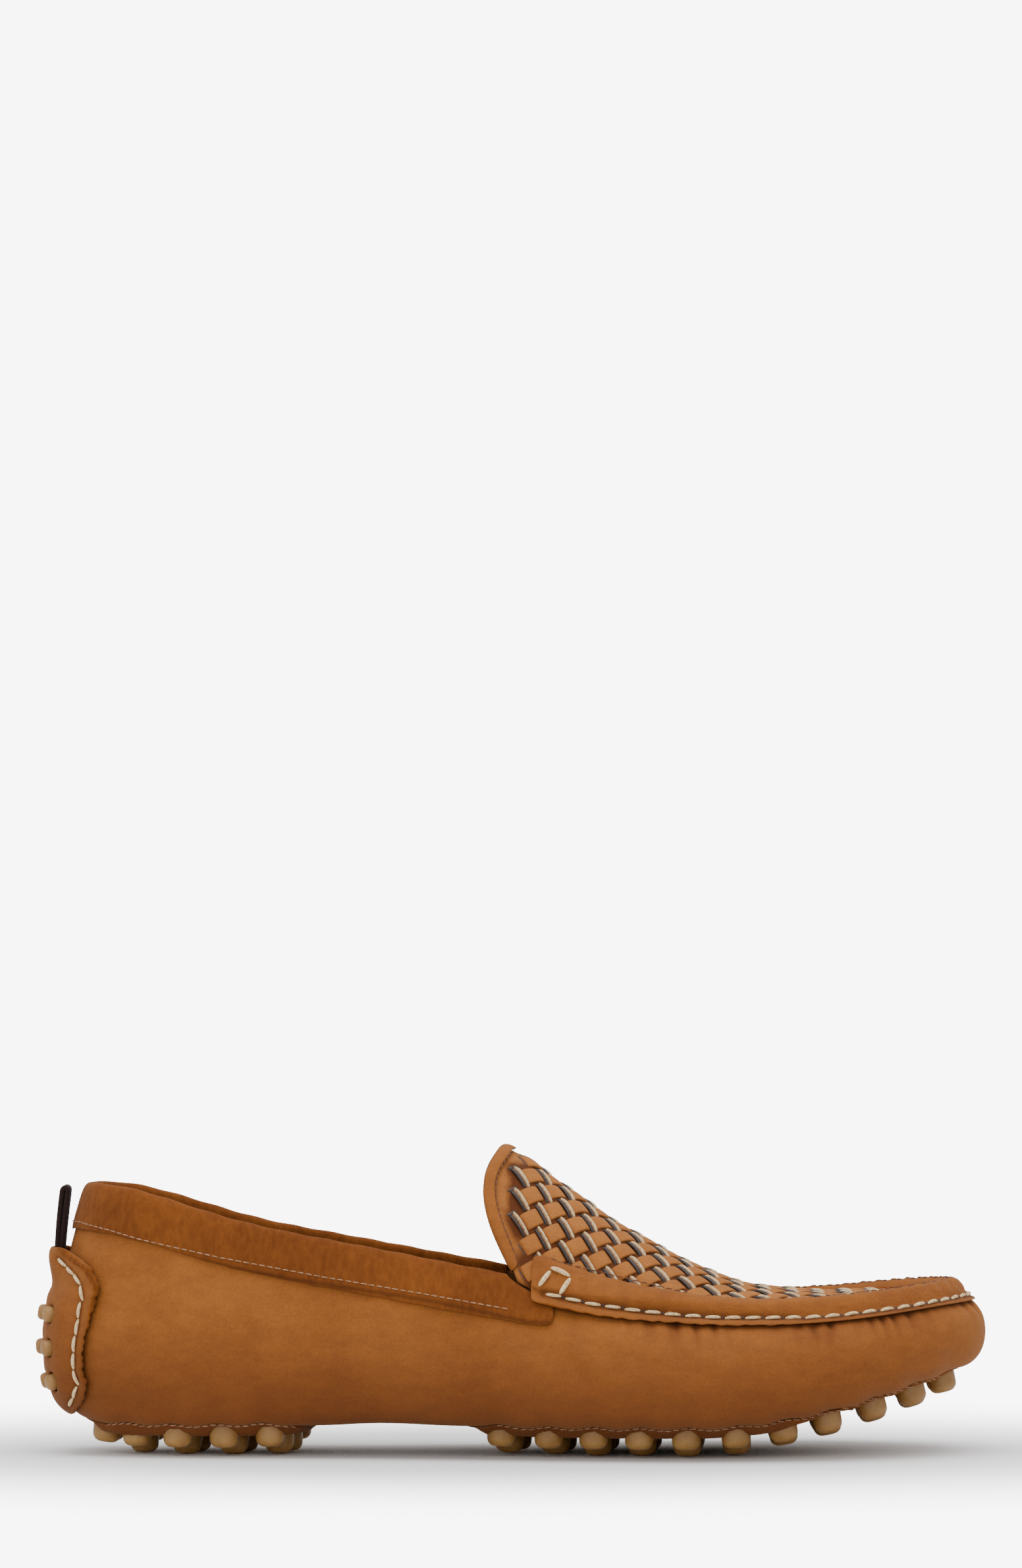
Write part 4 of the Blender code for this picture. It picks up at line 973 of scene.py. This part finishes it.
strip_firsts, lace_firsts = firsts(over_strips, 2, 0), firsts(over_laces, 0, 2)
woven("strip_slits", slit_motif(True, STRIP[0] / 2), strip_firsts, hole_shade)
woven("lace_slits", slit_motif(False, LACE_RUN / 2), lace_firsts, hole_shade)
print("slits:", len(strip_firsts), "behind strips,", len(lace_firsts), "behind laces")

# %% [markdown]
# The apron strip rolls over the seam: a puffed band with a flat raw-edged flange below it. Each
# hand stitch lies in a groove between the two and pulls the leather in, so the roll swells a
# little between stitches. The groove is found first, and everything is then measured from it.

# %% The apron strip and its groove
apron = rounded(copy_of("apron_strip", "apron_roll"), 3)
edited(apron, bpy.ops.mesh.vertices_smooth, factor=0.5, repeat=6)
GROOVE = curve(
    (5, 49.6), (11, 48.9), (17.5, 47.4), (23.6, 46.0), (30, 45.1), (36.5, 44.1), (43, 43.4),
    (49, 42.7), (55, 42.3), (61, 41.9), (86, 41.8), (92, 42.1), (97.6, 42.5), (103.5, 43.1),
    (109, 43.7), (114.5, 44.3), (120, 45.0), (125, 45.7), (130, 46.2), (133.5, 46.6), (142, 46.8),
)
START_WAY = 8 * MM - HEEL_TURN
END_WAY = 2 * SIDE + TOE_WAY - START_WAY
groove = trail(tree_of(apron), START_WAY, END_WAY, GROOVE)
groove_points = np.array([point for point, _ in groove])
groove_walk = np.concatenate(
    [[0], np.cumsum(np.linalg.norm(np.diff(groove_points, axis=0), axis=1))]
)
print("groove round the toe:", round(groove_walk[-1] / MM), "mm")

# %% Puff the roll between stitches
points, normals = corners_of(apron)
nearest = np.empty(len(points))
gap = np.empty(len(points))
for k, point in enumerate(points):
    distance = np.linalg.norm(groove_points - point, axis=1)
    best = int(distance.argmin())
    nearest[k], gap[k] = groove_walk[best], distance[best]
above = points[:, 2] - np.array([GROOVE(px) for px in points[:, 0]])
puff = 0.5 - 0.5 * np.cos(2 * np.pi * nearest / STITCH)
roll = ease(0.5 * MM, 2.5 * MM, above) * (1 - ease(7 * MM, 12 * MM, gap))
facing = normals[:, 2] > -0.35
pressed = np.exp(-((gap / (1.25 * MM)) ** 2))
shift = 0.42 * (puff - 0.4) * roll - 0.55 * pressed
edge = (above < -1.8 * MM) * np.sin(nearest / MM * 2.1) * np.sin(nearest / MM * 0.83) * 0.22
points += normals * ((shift * facing) * MM)[:, None]
points[:, 2] += edge * MM
move_to(apron, points)
print("the roll swells up to", round(float(shift.max()), 2), "mm")

# %% Shade the groove and bare the raw edge
# painted shade in the groove, on the flange and a little over the whole strip, and a faint painted
# highlight on each puff
apron_shade = -0.16 - 0.7 * pressed - 0.45 * (above < -3.0 * MM) + 0.1 * roll * puff
tone(apron, apron_shade)
apron.data.materials.append(body_leather)
apron.data.materials.append(raw_edge)
flange_low = np.array([np.mean(above[list(p.vertices)]) for p in apron.data.polygons])
apron.data.polygons.foreach_set("material_index", (flange_low < -2.7 * MM).astype(np.int32))
dress(apron, "apron_strip", "apron_strip")

# %% Hand stitches in the groove
apron_tree = tree_of(apron)
groove = trail(apron_tree, START_WAY, END_WAY, GROOVE)
on_seam = [place for place in groove if abs(place[0].z - GROOVE(place[0].x)) < 0.5 * MM]
stitches = evenly(on_seam, STITCH)
between_stitches = evenly(on_seam, STITCH, 0.0)[1:]
dress(lay("apron_stitches", hand_stitch, stitches, cream_thread, 0.3 * MM, 0.06), "apron_strip")
# dark beads sunk between the stitches: painted shade in the needle holes
dress(lay("apron_holes", needle_hole, between_stitches, hole_shade, -0.42 * MM), "apron_strip")
print("apron:", len(stitches), "hand stitches")

# %% Bars that close the ends of the roll
# at each end two bars and a cross stitch, as (x, z) pairs in mm
BARS = [((11.5, 55.9), (8.2, 50.8)), ((17.3, 53.6), (14.3, 48.8)), ((11.9, 56.3), (16.9, 54.1))]


def from_side(tree, side, x, z):
    """The point and normal that a level ray finds from the inner (1) or outer (-1) side."""
    hit, normal, _, _ = tree.ray_cast(Vector((x, side * 80 * MM, z)), Vector((0, -side, 0)))
    if hit is None:
        return None
    return hit, normal if normal.y * side > 0 else -normal


bars = []
for side in (-1, 1):
    for (xa, za), (xb, zb) in BARS:
        found = from_side(apron_tree, side, (xa + xb) / 2 * MM, (za + zb) / 2 * MM)
        if found:
            bars.append((found[0], Vector((xb - xa, 0, zb - za)).normalized(), found[1]))
dress(lay("apron_bars", bar_stitch, bars, cream_thread, 0.5 * MM), "apron_strip")
print("bars:", len(bars))


# %% The machine stitch on the roll
def roof_trail(tree, seam, inward, most):
    """Points and normals found from above, this far inside a seam, up to a height."""
    found = []
    line = np.array([point for point, _ in seam])
    ahead = np.gradient(line, axis=0)
    for _ in range(3):
        ahead[1:-1] = (ahead[:-2] + ahead[1:-1] + ahead[2:]) / 3
    for point, along in zip(line, ahead):
        inside = Vector((-along[1], along[0], 0)).normalized() * inward
        above_it = Vector(point) + inside + Vector((0, 0, 60 * MM))
        hit, normal, _, _ = tree.ray_cast(above_it, Vector((0, 0, -1)))
        if hit is not None and hit.z < most and normal.z > 0.3:
            found.append((hit, normal))
    return found


ROLL_WIDTH, TAB_HEIGHT = 6.0 * MM, 66 * MM
roll_edge = without_strays(roof_trail(apron_tree, groove, ROLL_WIDTH, TAB_HEIGHT))
print("machine stitch on the roll:", len(roll_edge), "of", len(groove), "places")
points, _ = corners_of(apron)
sewn_line = np.array([point for point, _ in roll_edge])
off_sewn = np.array([np.linalg.norm(sewn_line - point, axis=1).min() for point in points])
# painted shade in a narrow band along the machine stitch
tone(apron, apron_shade - 0.55 * np.exp(-((off_sewn / (0.95 * MM)) ** 2)))
sewn = evenly(roll_edge, 2.5 * MM)
dress(lay("apron_machine_stitch", machine_stitch, sewn, brown_thread, 0.12 * MM), "apron_strip")

# %% [markdown]
# The tongue's back edge is bound with a rolled strip, and the collar with folded suede whose
# lower edge is left raw. Both come from their solids, rounded, and take a line of machine stitch.

# %% Tongue binding
binding = rounded(copy_of("tongue_binding", "tongue_piping"), 2)
edited(binding, bpy.ops.mesh.vertices_smooth, factor=0.5, repeat=6)
binding.data.materials.append(body_leather)
dress(binding, "tongue_binding", "tongue_binding")

# the machine stitch runs where the binding's front edge meets the plug, found by angle
ARCH_Y, ARCH_Z = 1 * MM, 52 * MM
points, normals = corners_of(binding)
around = np.degrees(np.arctan2(points[:, 1] - ARCH_Y, points[:, 2] - ARCH_Z))
front_edge = []
for turn in np.arange(-86, 86.1, 1.5):
    near = np.nonzero(np.abs(around - turn) < 1.6)[0]
    if len(near):
        front = near[np.argmax(points[near, 0] + points[near, 2] * 0.2)]
        front_edge.append((points[front], Vector(normals[front])))
seam = []
for k, (_, normal) in enumerate(front_edge):
    about = [point for point, _ in front_edge[max(0, k - 2) : k + 3]]
    seam.append((Vector(np.mean(about, axis=0)), (normal + Vector((0.6, 0, 0))).normalized()))
sewn = evenly(seam, 2.3 * MM)
dress(lay("binding_stitch", machine_stitch, sewn, brown_thread, 0.25 * MM), "tongue_binding")

# %% Suede collar
COLLAR_LOW = curve(
    (-140, 66.4), (-130, 66.8), (-120.5, 64.6), (-108.6, 62.1), (-99, 59.6), (-84.5, 56.7),
    (-65, 53.1), (-45.5, 50.1), (-26, 47.2), (-14.8, 45.1), (5.3, 40.8), (12, 40.6),
)
collar = rounded(copy_of("collar_band", "suede_collar"), 3)
points, normals = corners_of(collar)
low_edge = points[:, 2] - np.array([COLLAR_LOW(px) for px in points[:, 0]])
fray = np.exp(-((low_edge / (1.2 * MM)) ** 2))
points[:, 2] += fray * 0.22 * MM * np.sin(points[:, 0] / MM * 2.9) * np.sin(points[:, 0] / MM * 1.1)
points += normals * (0.12 * MM * np.sin(points[:, 0] / MM * 0.55)[:, None]) * (1 - fray)[:, None]
move_to(collar, points)
# painted shade in a narrow band along the raw lower edge
tone(collar, -0.6 * np.exp(-((low_edge / (0.7 * MM)) ** 2)))
collar.data.materials.append(collar_suede)
dress(collar, "collar_band", "collar_band")

# %% The collar's machine stitch
COLLAR_SEAM = curve(
    (-140, 68.4), (-128, 68.8), (-119, 67.0), (-108.6, 64.2), (-84.6, 59.0), (-55.3, 53.6),
    (-26.2, 48.9), (-2.7, 44.9), (6, 43.3),
)
SEAM_END = 3 * MM - HEEL_TURN
collar_tree = tree_of(collar)
collar_run = trail(collar_tree, 2 * SIDE + TOE_WAY - SEAM_END, WHOLE_WAY, COLLAR_SEAM)
collar_run += trail(collar_tree, 0, SEAM_END, COLLAR_SEAM)
sewn = evenly(collar_run, 2.35 * MM)
dress(lay("collar_stitch", machine_stitch, sewn, pale_thread, 0.12 * MM), "collar_band")

# %% [markdown]
# The counter covers the back seam: a nubuck patch hand sewn near its raw edge, swelling over the
# small pegs. Its edge stands proud, rough and orange, because it shows the leather's inside.

# %% Heel counter
COUNTER_EDGE = np.array(
    [(-134, 60.5), (-129.2, 57.5), (-125, 54.7), (-122.6, 51.5), (-121.8, 48.5), (-123, 44.8),
     (-124, 38.7), (-125.2, 34.6), (-125.7, 29.7), (-125.7, 23.8), (-124.2, 21.2), (-124.8, 17.7),
     (-127, 14.2), (-129, 11.5)]
)
COUNTER_MIDDLE = np.array([-135.5, 36.0])
SEW_LINE = COUNTER_MIDDLE + (COUNTER_EDGE - COUNTER_MIDDLE) * [0.66, 0.9]


def off_line(line, places):
    """The distance of places from a line of points."""
    best = np.full(len(places), 1e9)
    for a, b in zip(line, line[1:]):
        t = np.clip(((places - a) @ (b - a)) / ((b - a) @ (b - a)), 0, 1)
        best = np.minimum(best, np.linalg.norm(places - a - t[:, None] * (b - a), axis=1))
    return best


counter = rounded(copy_of("heel_counter", "heel_counter_patch"), 3)
points, normals = corners_of(counter)
xz = points[:, [0, 2]] / MM
to_edge, to_sewing = off_line(COUNTER_EDGE, xz), off_line(SEW_LINE, xz)
shift = -0.55 * np.exp(-((to_sewing / 1.0) ** 2)) + 0.5 * np.exp(-((to_edge / 1.6) ** 2))
ripple = np.sin(xz[:, 1] * 1.9) * np.sin(xz[:, 1] * 0.77) * np.exp(-((to_edge / 1.5) ** 2))
points += normals * ((shift + 0.2 * ripple) * MM)[:, None]
points[:, 0] += 0.35 * MM * ripple
move_to(counter, points)
shade = 0.14 + 0.5 * np.exp(-((to_sewing / 0.8) ** 2)) + 0.45 * np.exp(-((to_edge / 0.9) ** 2))
tone(counter, -shade)
counter.data.materials.append(body_leather)
counter.data.materials.append(raw_edge)
rough = np.array([to_edge[list(p.vertices)].max() for p in counter.data.polygons])
counter.data.polygons.foreach_set("material_index", (rough < 1.1).astype(np.int32))
dress(counter, "heel_counter", "heel_counter")

# %% The counter's hand stitches
counter_tree = tree_of(counter)
sewn = []
for side in (-1, 1):
    path = []
    for a, b in zip(SEW_LINE, SEW_LINE[1:]):
        for t in (0.0, 0.25, 0.5, 0.75):
            at = (a + (b - a) * t) * MM
            found = from_side(counter_tree, side, at[0], at[1])
            if found:
                path.append(found)
    sewn += evenly(path, 5.1 * MM)
dress(lay("counter_stitches", hand_stitch, sewn, cream_thread, 0.45 * MM), "heel_counter")
print("counter:", len(sewn), "hand stitches")

# %% [markdown]
# Pegs are short rubber cylinders with a domed end. Each CAD peg ends in a flat cap with seven
# corners, so the caps tell where the pegs stand and which way they point. One peg is made from a
# cylinder primitive, rounded at its end, and copied there with its root hidden in the leather.


# %% One peg
def peg_template(radius, length):
    """A peg pointing along Z, its tip at the origin and its root this far behind."""
    bpy.ops.object.select_all(action="DESELECT")
    bpy.ops.mesh.primitive_cylinder_add(vertices=24, radius=radius, depth=length)
    made = bpy.context.object
    edited(made, bpy.ops.transform.translate, value=(0, 0, -length / 2))
    rim = made.modifiers.new("rim", "BEVEL")
    rim.width, rim.segments, rim.limit_method = radius * 0.52, 5, "ANGLE"
    bpy.ops.object.modifier_apply(modifier=rim.name)
    points, _ = corners_of(made)
    reach = np.hypot(points[:, 0], points[:, 1]) / radius
    points[:, 2] -= 0.09 * radius * reach**2
    points[:, :2] *= (1 + 0.035 * np.sin(points[:, 2] / length * 5.0))[:, None]
    move_to(made, points)
    templates.append(made)
    return made


peg = peg_template(4.35 * MM, 9.0 * MM)
back_peg = peg_template(2.45 * MM, 4.4 * MM)
print("peg:", len(peg.data.polygons), "faces")

# %% Pegs where the solid has them
PEG_CORNERS = 7
WIDEST_CAP = 3.1 * MM
SPRUNG = 0.8 * MM


def peg_ends(node_name):
    """The middle of each flat cap of a CAD node of pegs, with the way it faces."""
    flat = copy_of(node_name, "flat_caps")
    edited(flat, bpy.ops.mesh.dissolve_limited, angle_limit=math.radians(6.0))
    ends = []
    for face in flat.data.polygons:
        if len(face.vertices) != PEG_CORNERS:
            continue
        corners = np.array([flat.data.vertices[k].co for k in face.vertices])
        middle = corners.mean(axis=0)
        reach = np.linalg.norm(corners - middle, axis=1)
        if reach.max() < WIDEST_CAP and np.ptp(reach) < 0.2 * reach.max():
            ends.append((Vector(middle), face.normal.copy()))
    bpy.data.objects.remove(flat)
    return ends


for node_name, name, template in (
    ("forefoot_pegs", "forefoot_rubber", peg),
    ("heel_pegs", "heel_rubber", peg),
    ("back_pegs", "back_rubber", back_peg),
):
    ends = peg_ends(node_name)
    # the outer rows carry no weight, so they have sprung back a little further than the solids
    sprung = [(end - way * (SPRUNG if end.z > 1 * MM else 0), way) for end, way in ends]
    places = [(end, Vector((0, 1, 0)).cross(way), way) for end, way in sprung]
    dress(lay(name, template, places, peg_rubber), node_name, node_name)
    print(node_name, len(ends), "pegs, lowest end", round(min(e.z for e, _ in ends) / MM, 2), "mm")


# %% [markdown]
# The leather on the sole is the same nubuck as the body. Its rim is thinned and pressed up
# against the body, so that only a stitched line shows where it ends.

# %% Sole patches
RIM = 5.5 * MM
TOE_LIFT = (76 * MM, 92 * MM)


def rim_of(points, middle):
    """How near each point is to the patch's rim: 1 on it, 0 well inside."""
    rim = np.zeros(len(points))
    for k, point in enumerate(points):
        near = np.abs(points[:, 0] - point[0]) < 3 * MM
        reach = np.abs(points[near, 1] - middle).max()
        rim[k] = 1 - (reach - abs(point[1] - middle)) / RIM
    ends = np.minimum(points[:, 0] - points[:, 0].min(), points[:, 0].max() - points[:, 0])
    return np.clip(np.maximum(rim, 1 - ends / RIM), 0, 1)


def hug_body(points, normals, rim, middle):
    """Leads the rim outwards and lays it on the nearest skin of the body."""
    hugging = np.maximum(np.clip(rim * 1.6, 0, 1), ease(*TOE_LIFT, points[:, 0]))
    for k in np.nonzero(hugging > 0)[0]:
        out = Vector((0, math.copysign(1, points[k][1] - middle), 0.5))
        led = Vector(points[k]) + out * 1.2 * MM * rim[k]
        skin, away, _, _ = upper_tree.find_nearest(led)
        down = away if away.z < 0.3 else -away
        thick = 0.15 * MM + (0.8 * MM * (1 - rim[k]) if normals[k][2] < 0 else 0)
        points[k] = led.lerp(skin + down * thick, hugging[k])


def sew_side(points, side):
    """Places for machine stitches along one side of a patch, found slice by slice."""
    edge = []
    for at in np.arange(points[:, 0].min() + 4 * MM, points[:, 0].max() - 4 * MM, 1.5 * MM):
        near = np.nonzero(np.abs(points[:, 0] - at) < 1.5 * MM)[0]
        out = near[np.argmax(points[near, 1] * side)]
        edge.append((Vector(points[out]), Vector((0, side, -0.7)).normalized()))
    return evenly(without_strays(edge), 2.4 * MM)


for node_name in ("forefoot_sole_patch", "heel_sole_patch"):
    patch = copy_of(node_name, node_name.replace("patch", "leather"))
    edited(patch, bpy.ops.mesh.subdivide, number_cuts=2)
    rounded(patch, 1)
    points, normals = corners_of(patch)
    middle = (points[:, 1].max() + points[:, 1].min()) / 2
    rim = rim_of(points, middle)
    hug_body(points, normals, rim, middle)
    move_to(patch, points)
    # painted shade over the whole patch, deeper along its rim
    tone(patch, -0.12 - 0.25 * (rim > 0.92))
    patch.data.materials.append(body_leather)
    dress(patch, node_name, node_name)
    for side, which in ((-1, "_outer"), (1, "_inner")):
        label = node_name.replace("patch", "stitch") + which
        line = sew_side(points, side)
        dress(lay(label, machine_stitch, line, pale_thread, 0.15 * MM), node_name)


# %% [markdown]
# Inside lies a thin sock of smooth leather, darker where the foot has polished it. It is hardly
# seen, so its solid is rounded and given a finish of its own, and no more.

# %% Insole
sock, tree, shader = surface("sock_leather")
grain = noise(tree, object_place(tree), 900, 3)
worn = noise(tree, object_place(tree), 30, 4).band(0.35, 0.65)
sock_colour = mixed(tree, worn, (0.22, 0.11, 0.05, 1), (0.30, 0.155, 0.075, 1))
finish_of(tree, shader, sock_colour, worn * 0.1 + 0.55, grain, 0.15 * MM)
insole = rounded(copy_of("insole", "leather_sock"), 1)
insole.data.materials.append(sock)
dress(insole, "insole", "insole")

# %% [markdown]
# The pull loop is one length of dark ribbed webbing, folded at the top with both ends sewn in
# behind the counter. A grid is led up, over the bend and down again, then given its thickness.

# %% Ribbed webbing
webbing, tree, shader = surface("brown_webbing")
ribs = node(
    tree,
    "ShaderNodeTexWave",
    {"Vector": object_place(tree), "Scale": 620.0, "Distortion": 2.0, "Detail": 1.0},
    wave_type="BANDS",
    bands_direction="Z",
)
ribs = Wire(tree, ribs.outputs[1])
fuzz = noise(tree, object_place(tree), 1700, 2)
web_colour = mixed(tree, ribs * 0.6 + fuzz * 0.4, (0.008, 0.004, 0.003, 1), (0.034, 0.014, 0.009, 1))
finish_of(tree, shader, web_colour, 0.9, ribs * 0.7 + fuzz * 0.3, 0.35 * MM)
constants(shader, {"Specular IOR Level": 0.15, "Sheen Weight": 0.05})
print("webbing:", len(tree.nodes), "nodes")

# %% The pull loop's route
PLY = 1.45 * MM
APART = 0.85 * MM
low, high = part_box("pull_loop")
middle_x, middle_y = (low.x + high.x) / 2, (low.y + high.y) / 2
turn_z = high.z - 1.8 * MM
route = [(middle_x + APART, low.z + 0.2 * MM + k * (turn_z - low.z) / 12) for k in range(12)]
for k in range(9):
    angle = math.pi * k / 8
    route.append((middle_x + APART * math.cos(angle), turn_z + 1.0 * MM * math.sin(angle)))
for k in range(12):
    slack = 0.5 * MM * (k / 11) ** 2
    route.append((middle_x - APART + slack, turn_z - (k + 1) * (turn_z - low.z - 0.2 * MM) / 12))
route = np.array(route)
laid_flat = np.linalg.norm(np.diff(route, axis=0), axis=1).sum()
print("webbing laid flat:", round(laid_flat / MM, 1), "mm")

# %% Pull loop
ACROSS = 10
LEAN = 2.2 * MM
bpy.ops.object.select_all(action="DESELECT")
bpy.ops.mesh.primitive_grid_add(x_subdivisions=len(route) - 1, y_subdivisions=ACROSS, size=1)
loop = bpy.context.object
loop.name = loop.data.name = "webbing_loop"
points, _ = corners_of(loop)
order = np.round((points[:, 0] + 0.5) * (len(route) - 1)).astype(int)
breadth = points[:, 1] * (high.y - low.y - 1.0 * MM)
fold = np.abs(points[:, 1]) ** 2 * 0.6 * MM
lean = LEAN * ((route[order, 1] - low.z) / (high.z - low.z)) ** 1.3
move_to(loop, np.column_stack([route[order, 0] - fold + lean, middle_y + breadth, route[order, 1]]))
thick = loop.modifiers.new("webbing", "SOLIDIFY")
thick.thickness, thick.offset = PLY, 0
bpy.ops.object.modifier_apply(modifier=thick.name)
rounded(loop, 1)
loop.data.materials.append(webbing)
dress(loop, "pull_loop", "pull_loop")

# %% [markdown]
# The templates were only for copying, so they go.

# %% Clear the templates
for made in templates:
    bpy.data.objects.remove(made)
print("templates cleared:", len(templates))

# %% [markdown]
# The photograph shows plain white all round, with only a soft shadow under the shoe. A floor lit
# brightly enough for that would wash out the leather. So the floor is pale paper that grows
# transparent a little way from the shoe, and its shadow fades out with it.

# %% Floor
bpy.ops.object.select_all(action="DESELECT")
bpy.ops.mesh.primitive_plane_add(size=8)
floor = bpy.context.object
floor.name = "floor_sweep"
edited(floor, bpy.ops.transform.translate, value=(0, -1.5, 0))
paper, tree, shader = surface("white_paper")
speck = noise(tree, object_place(tree), 60, 2)
paper_colour = mixed(tree, speck, (0.86, 0.86, 0.86, 1), (0.88, 0.88, 0.88, 1))
finish_of(tree, shader, paper_colour, 0.9, speck, 0.02 * MM)
from_shoe = node(
    tree, "ShaderNodeVectorMath", {0: object_place(tree, (0.55, 1, 1))}, operation="LENGTH"
)
kept = Wire(tree, from_shoe.outputs["Value"]).band(0.26, 0.065)
tree.links.new(kept.socket, shader.inputs["Alpha"])
floor.data.materials.append(paper)
print("floor:", round(floor.dimensions.x, 1), "m across")

# %% [markdown]
# A broad soft light hangs overhead and a weaker one stands in front, as in a studio with white
# walls. The sky lights the shoe evenly. It is eight times brighter where the camera looks at it
# directly, so that the background comes out white and the leather keeps its colour.


# %% Lights
def softbox(name, place, target, size, power):
    """A rectangular light that faces its target."""
    light = bpy.data.lights.new(name, "AREA")
    light.shape, light.size, light.size_y = "RECTANGLE", size[0], size[1]
    light.energy = power
    lamp = bpy.data.objects.new(name, light)
    lamp.location = place
    lamp.rotation_mode = "QUATERNION"
    lamp.rotation_quaternion = (Vector(target) - Vector(place)).to_track_quat("-Z", "Y")
    bpy.context.scene.collection.objects.link(lamp)
    print(name, power, "W")


softbox("overhead", (0.0, -0.25, 1.5), (0, 0, 0), (1.6, 1.2), 22)
softbox("front", (-0.5, -1.7, 0.75), (0, 0, 0.03), (1.4, 1.0), 10)
world = bpy.data.worlds.new("studio")
bpy.context.scene.world = world
world.use_nodes = True
room = world.node_tree
sky = room.nodes["Background"]
constants(sky, {"Color": (1, 1, 1, 1)})
seen = Wire(room, node(room, "ShaderNodeLightPath").outputs["Is Camera Ray"])
room.links.new((seen * 7.0 + 1.0).socket, sky.inputs["Strength"])

# %% [markdown]
# The photograph looks almost level at the outer side of the shoe, from far away, and the shoe
# stands low in an upright frame. So the camera is about three degrees above the shoe, and is
# tilted up until the shoe drops to its place near the bottom of the picture.

# %% Camera
DISTANCE, TILT = 2.0, math.radians(3)
FRAME_HEIGHT, FRAME_MIDDLE = 468.1 * MM, 199 * MM
SHOE_MIDDLE = 40 * MM
camera_data = bpy.data.cameras.new("studio_camera")
camera_data.sensor_width = 36
camera_data.lens = camera_data.sensor_width * DISTANCE / FRAME_HEIGHT
camera = bpy.data.objects.new("studio_camera", camera_data)
bpy.context.scene.collection.objects.link(camera)
camera.location = (0, -DISTANCE, SHOE_MIDDLE + DISTANCE * math.tan(TILT))
camera.rotation_mode = "QUATERNION"
aim = Vector((0, 0, FRAME_MIDDLE)) - camera.location
camera.rotation_quaternion = aim.to_track_quat("-Z", "Y")
bpy.context.scene.camera = camera
print("lens:", round(camera_data.lens, 1), "mm")
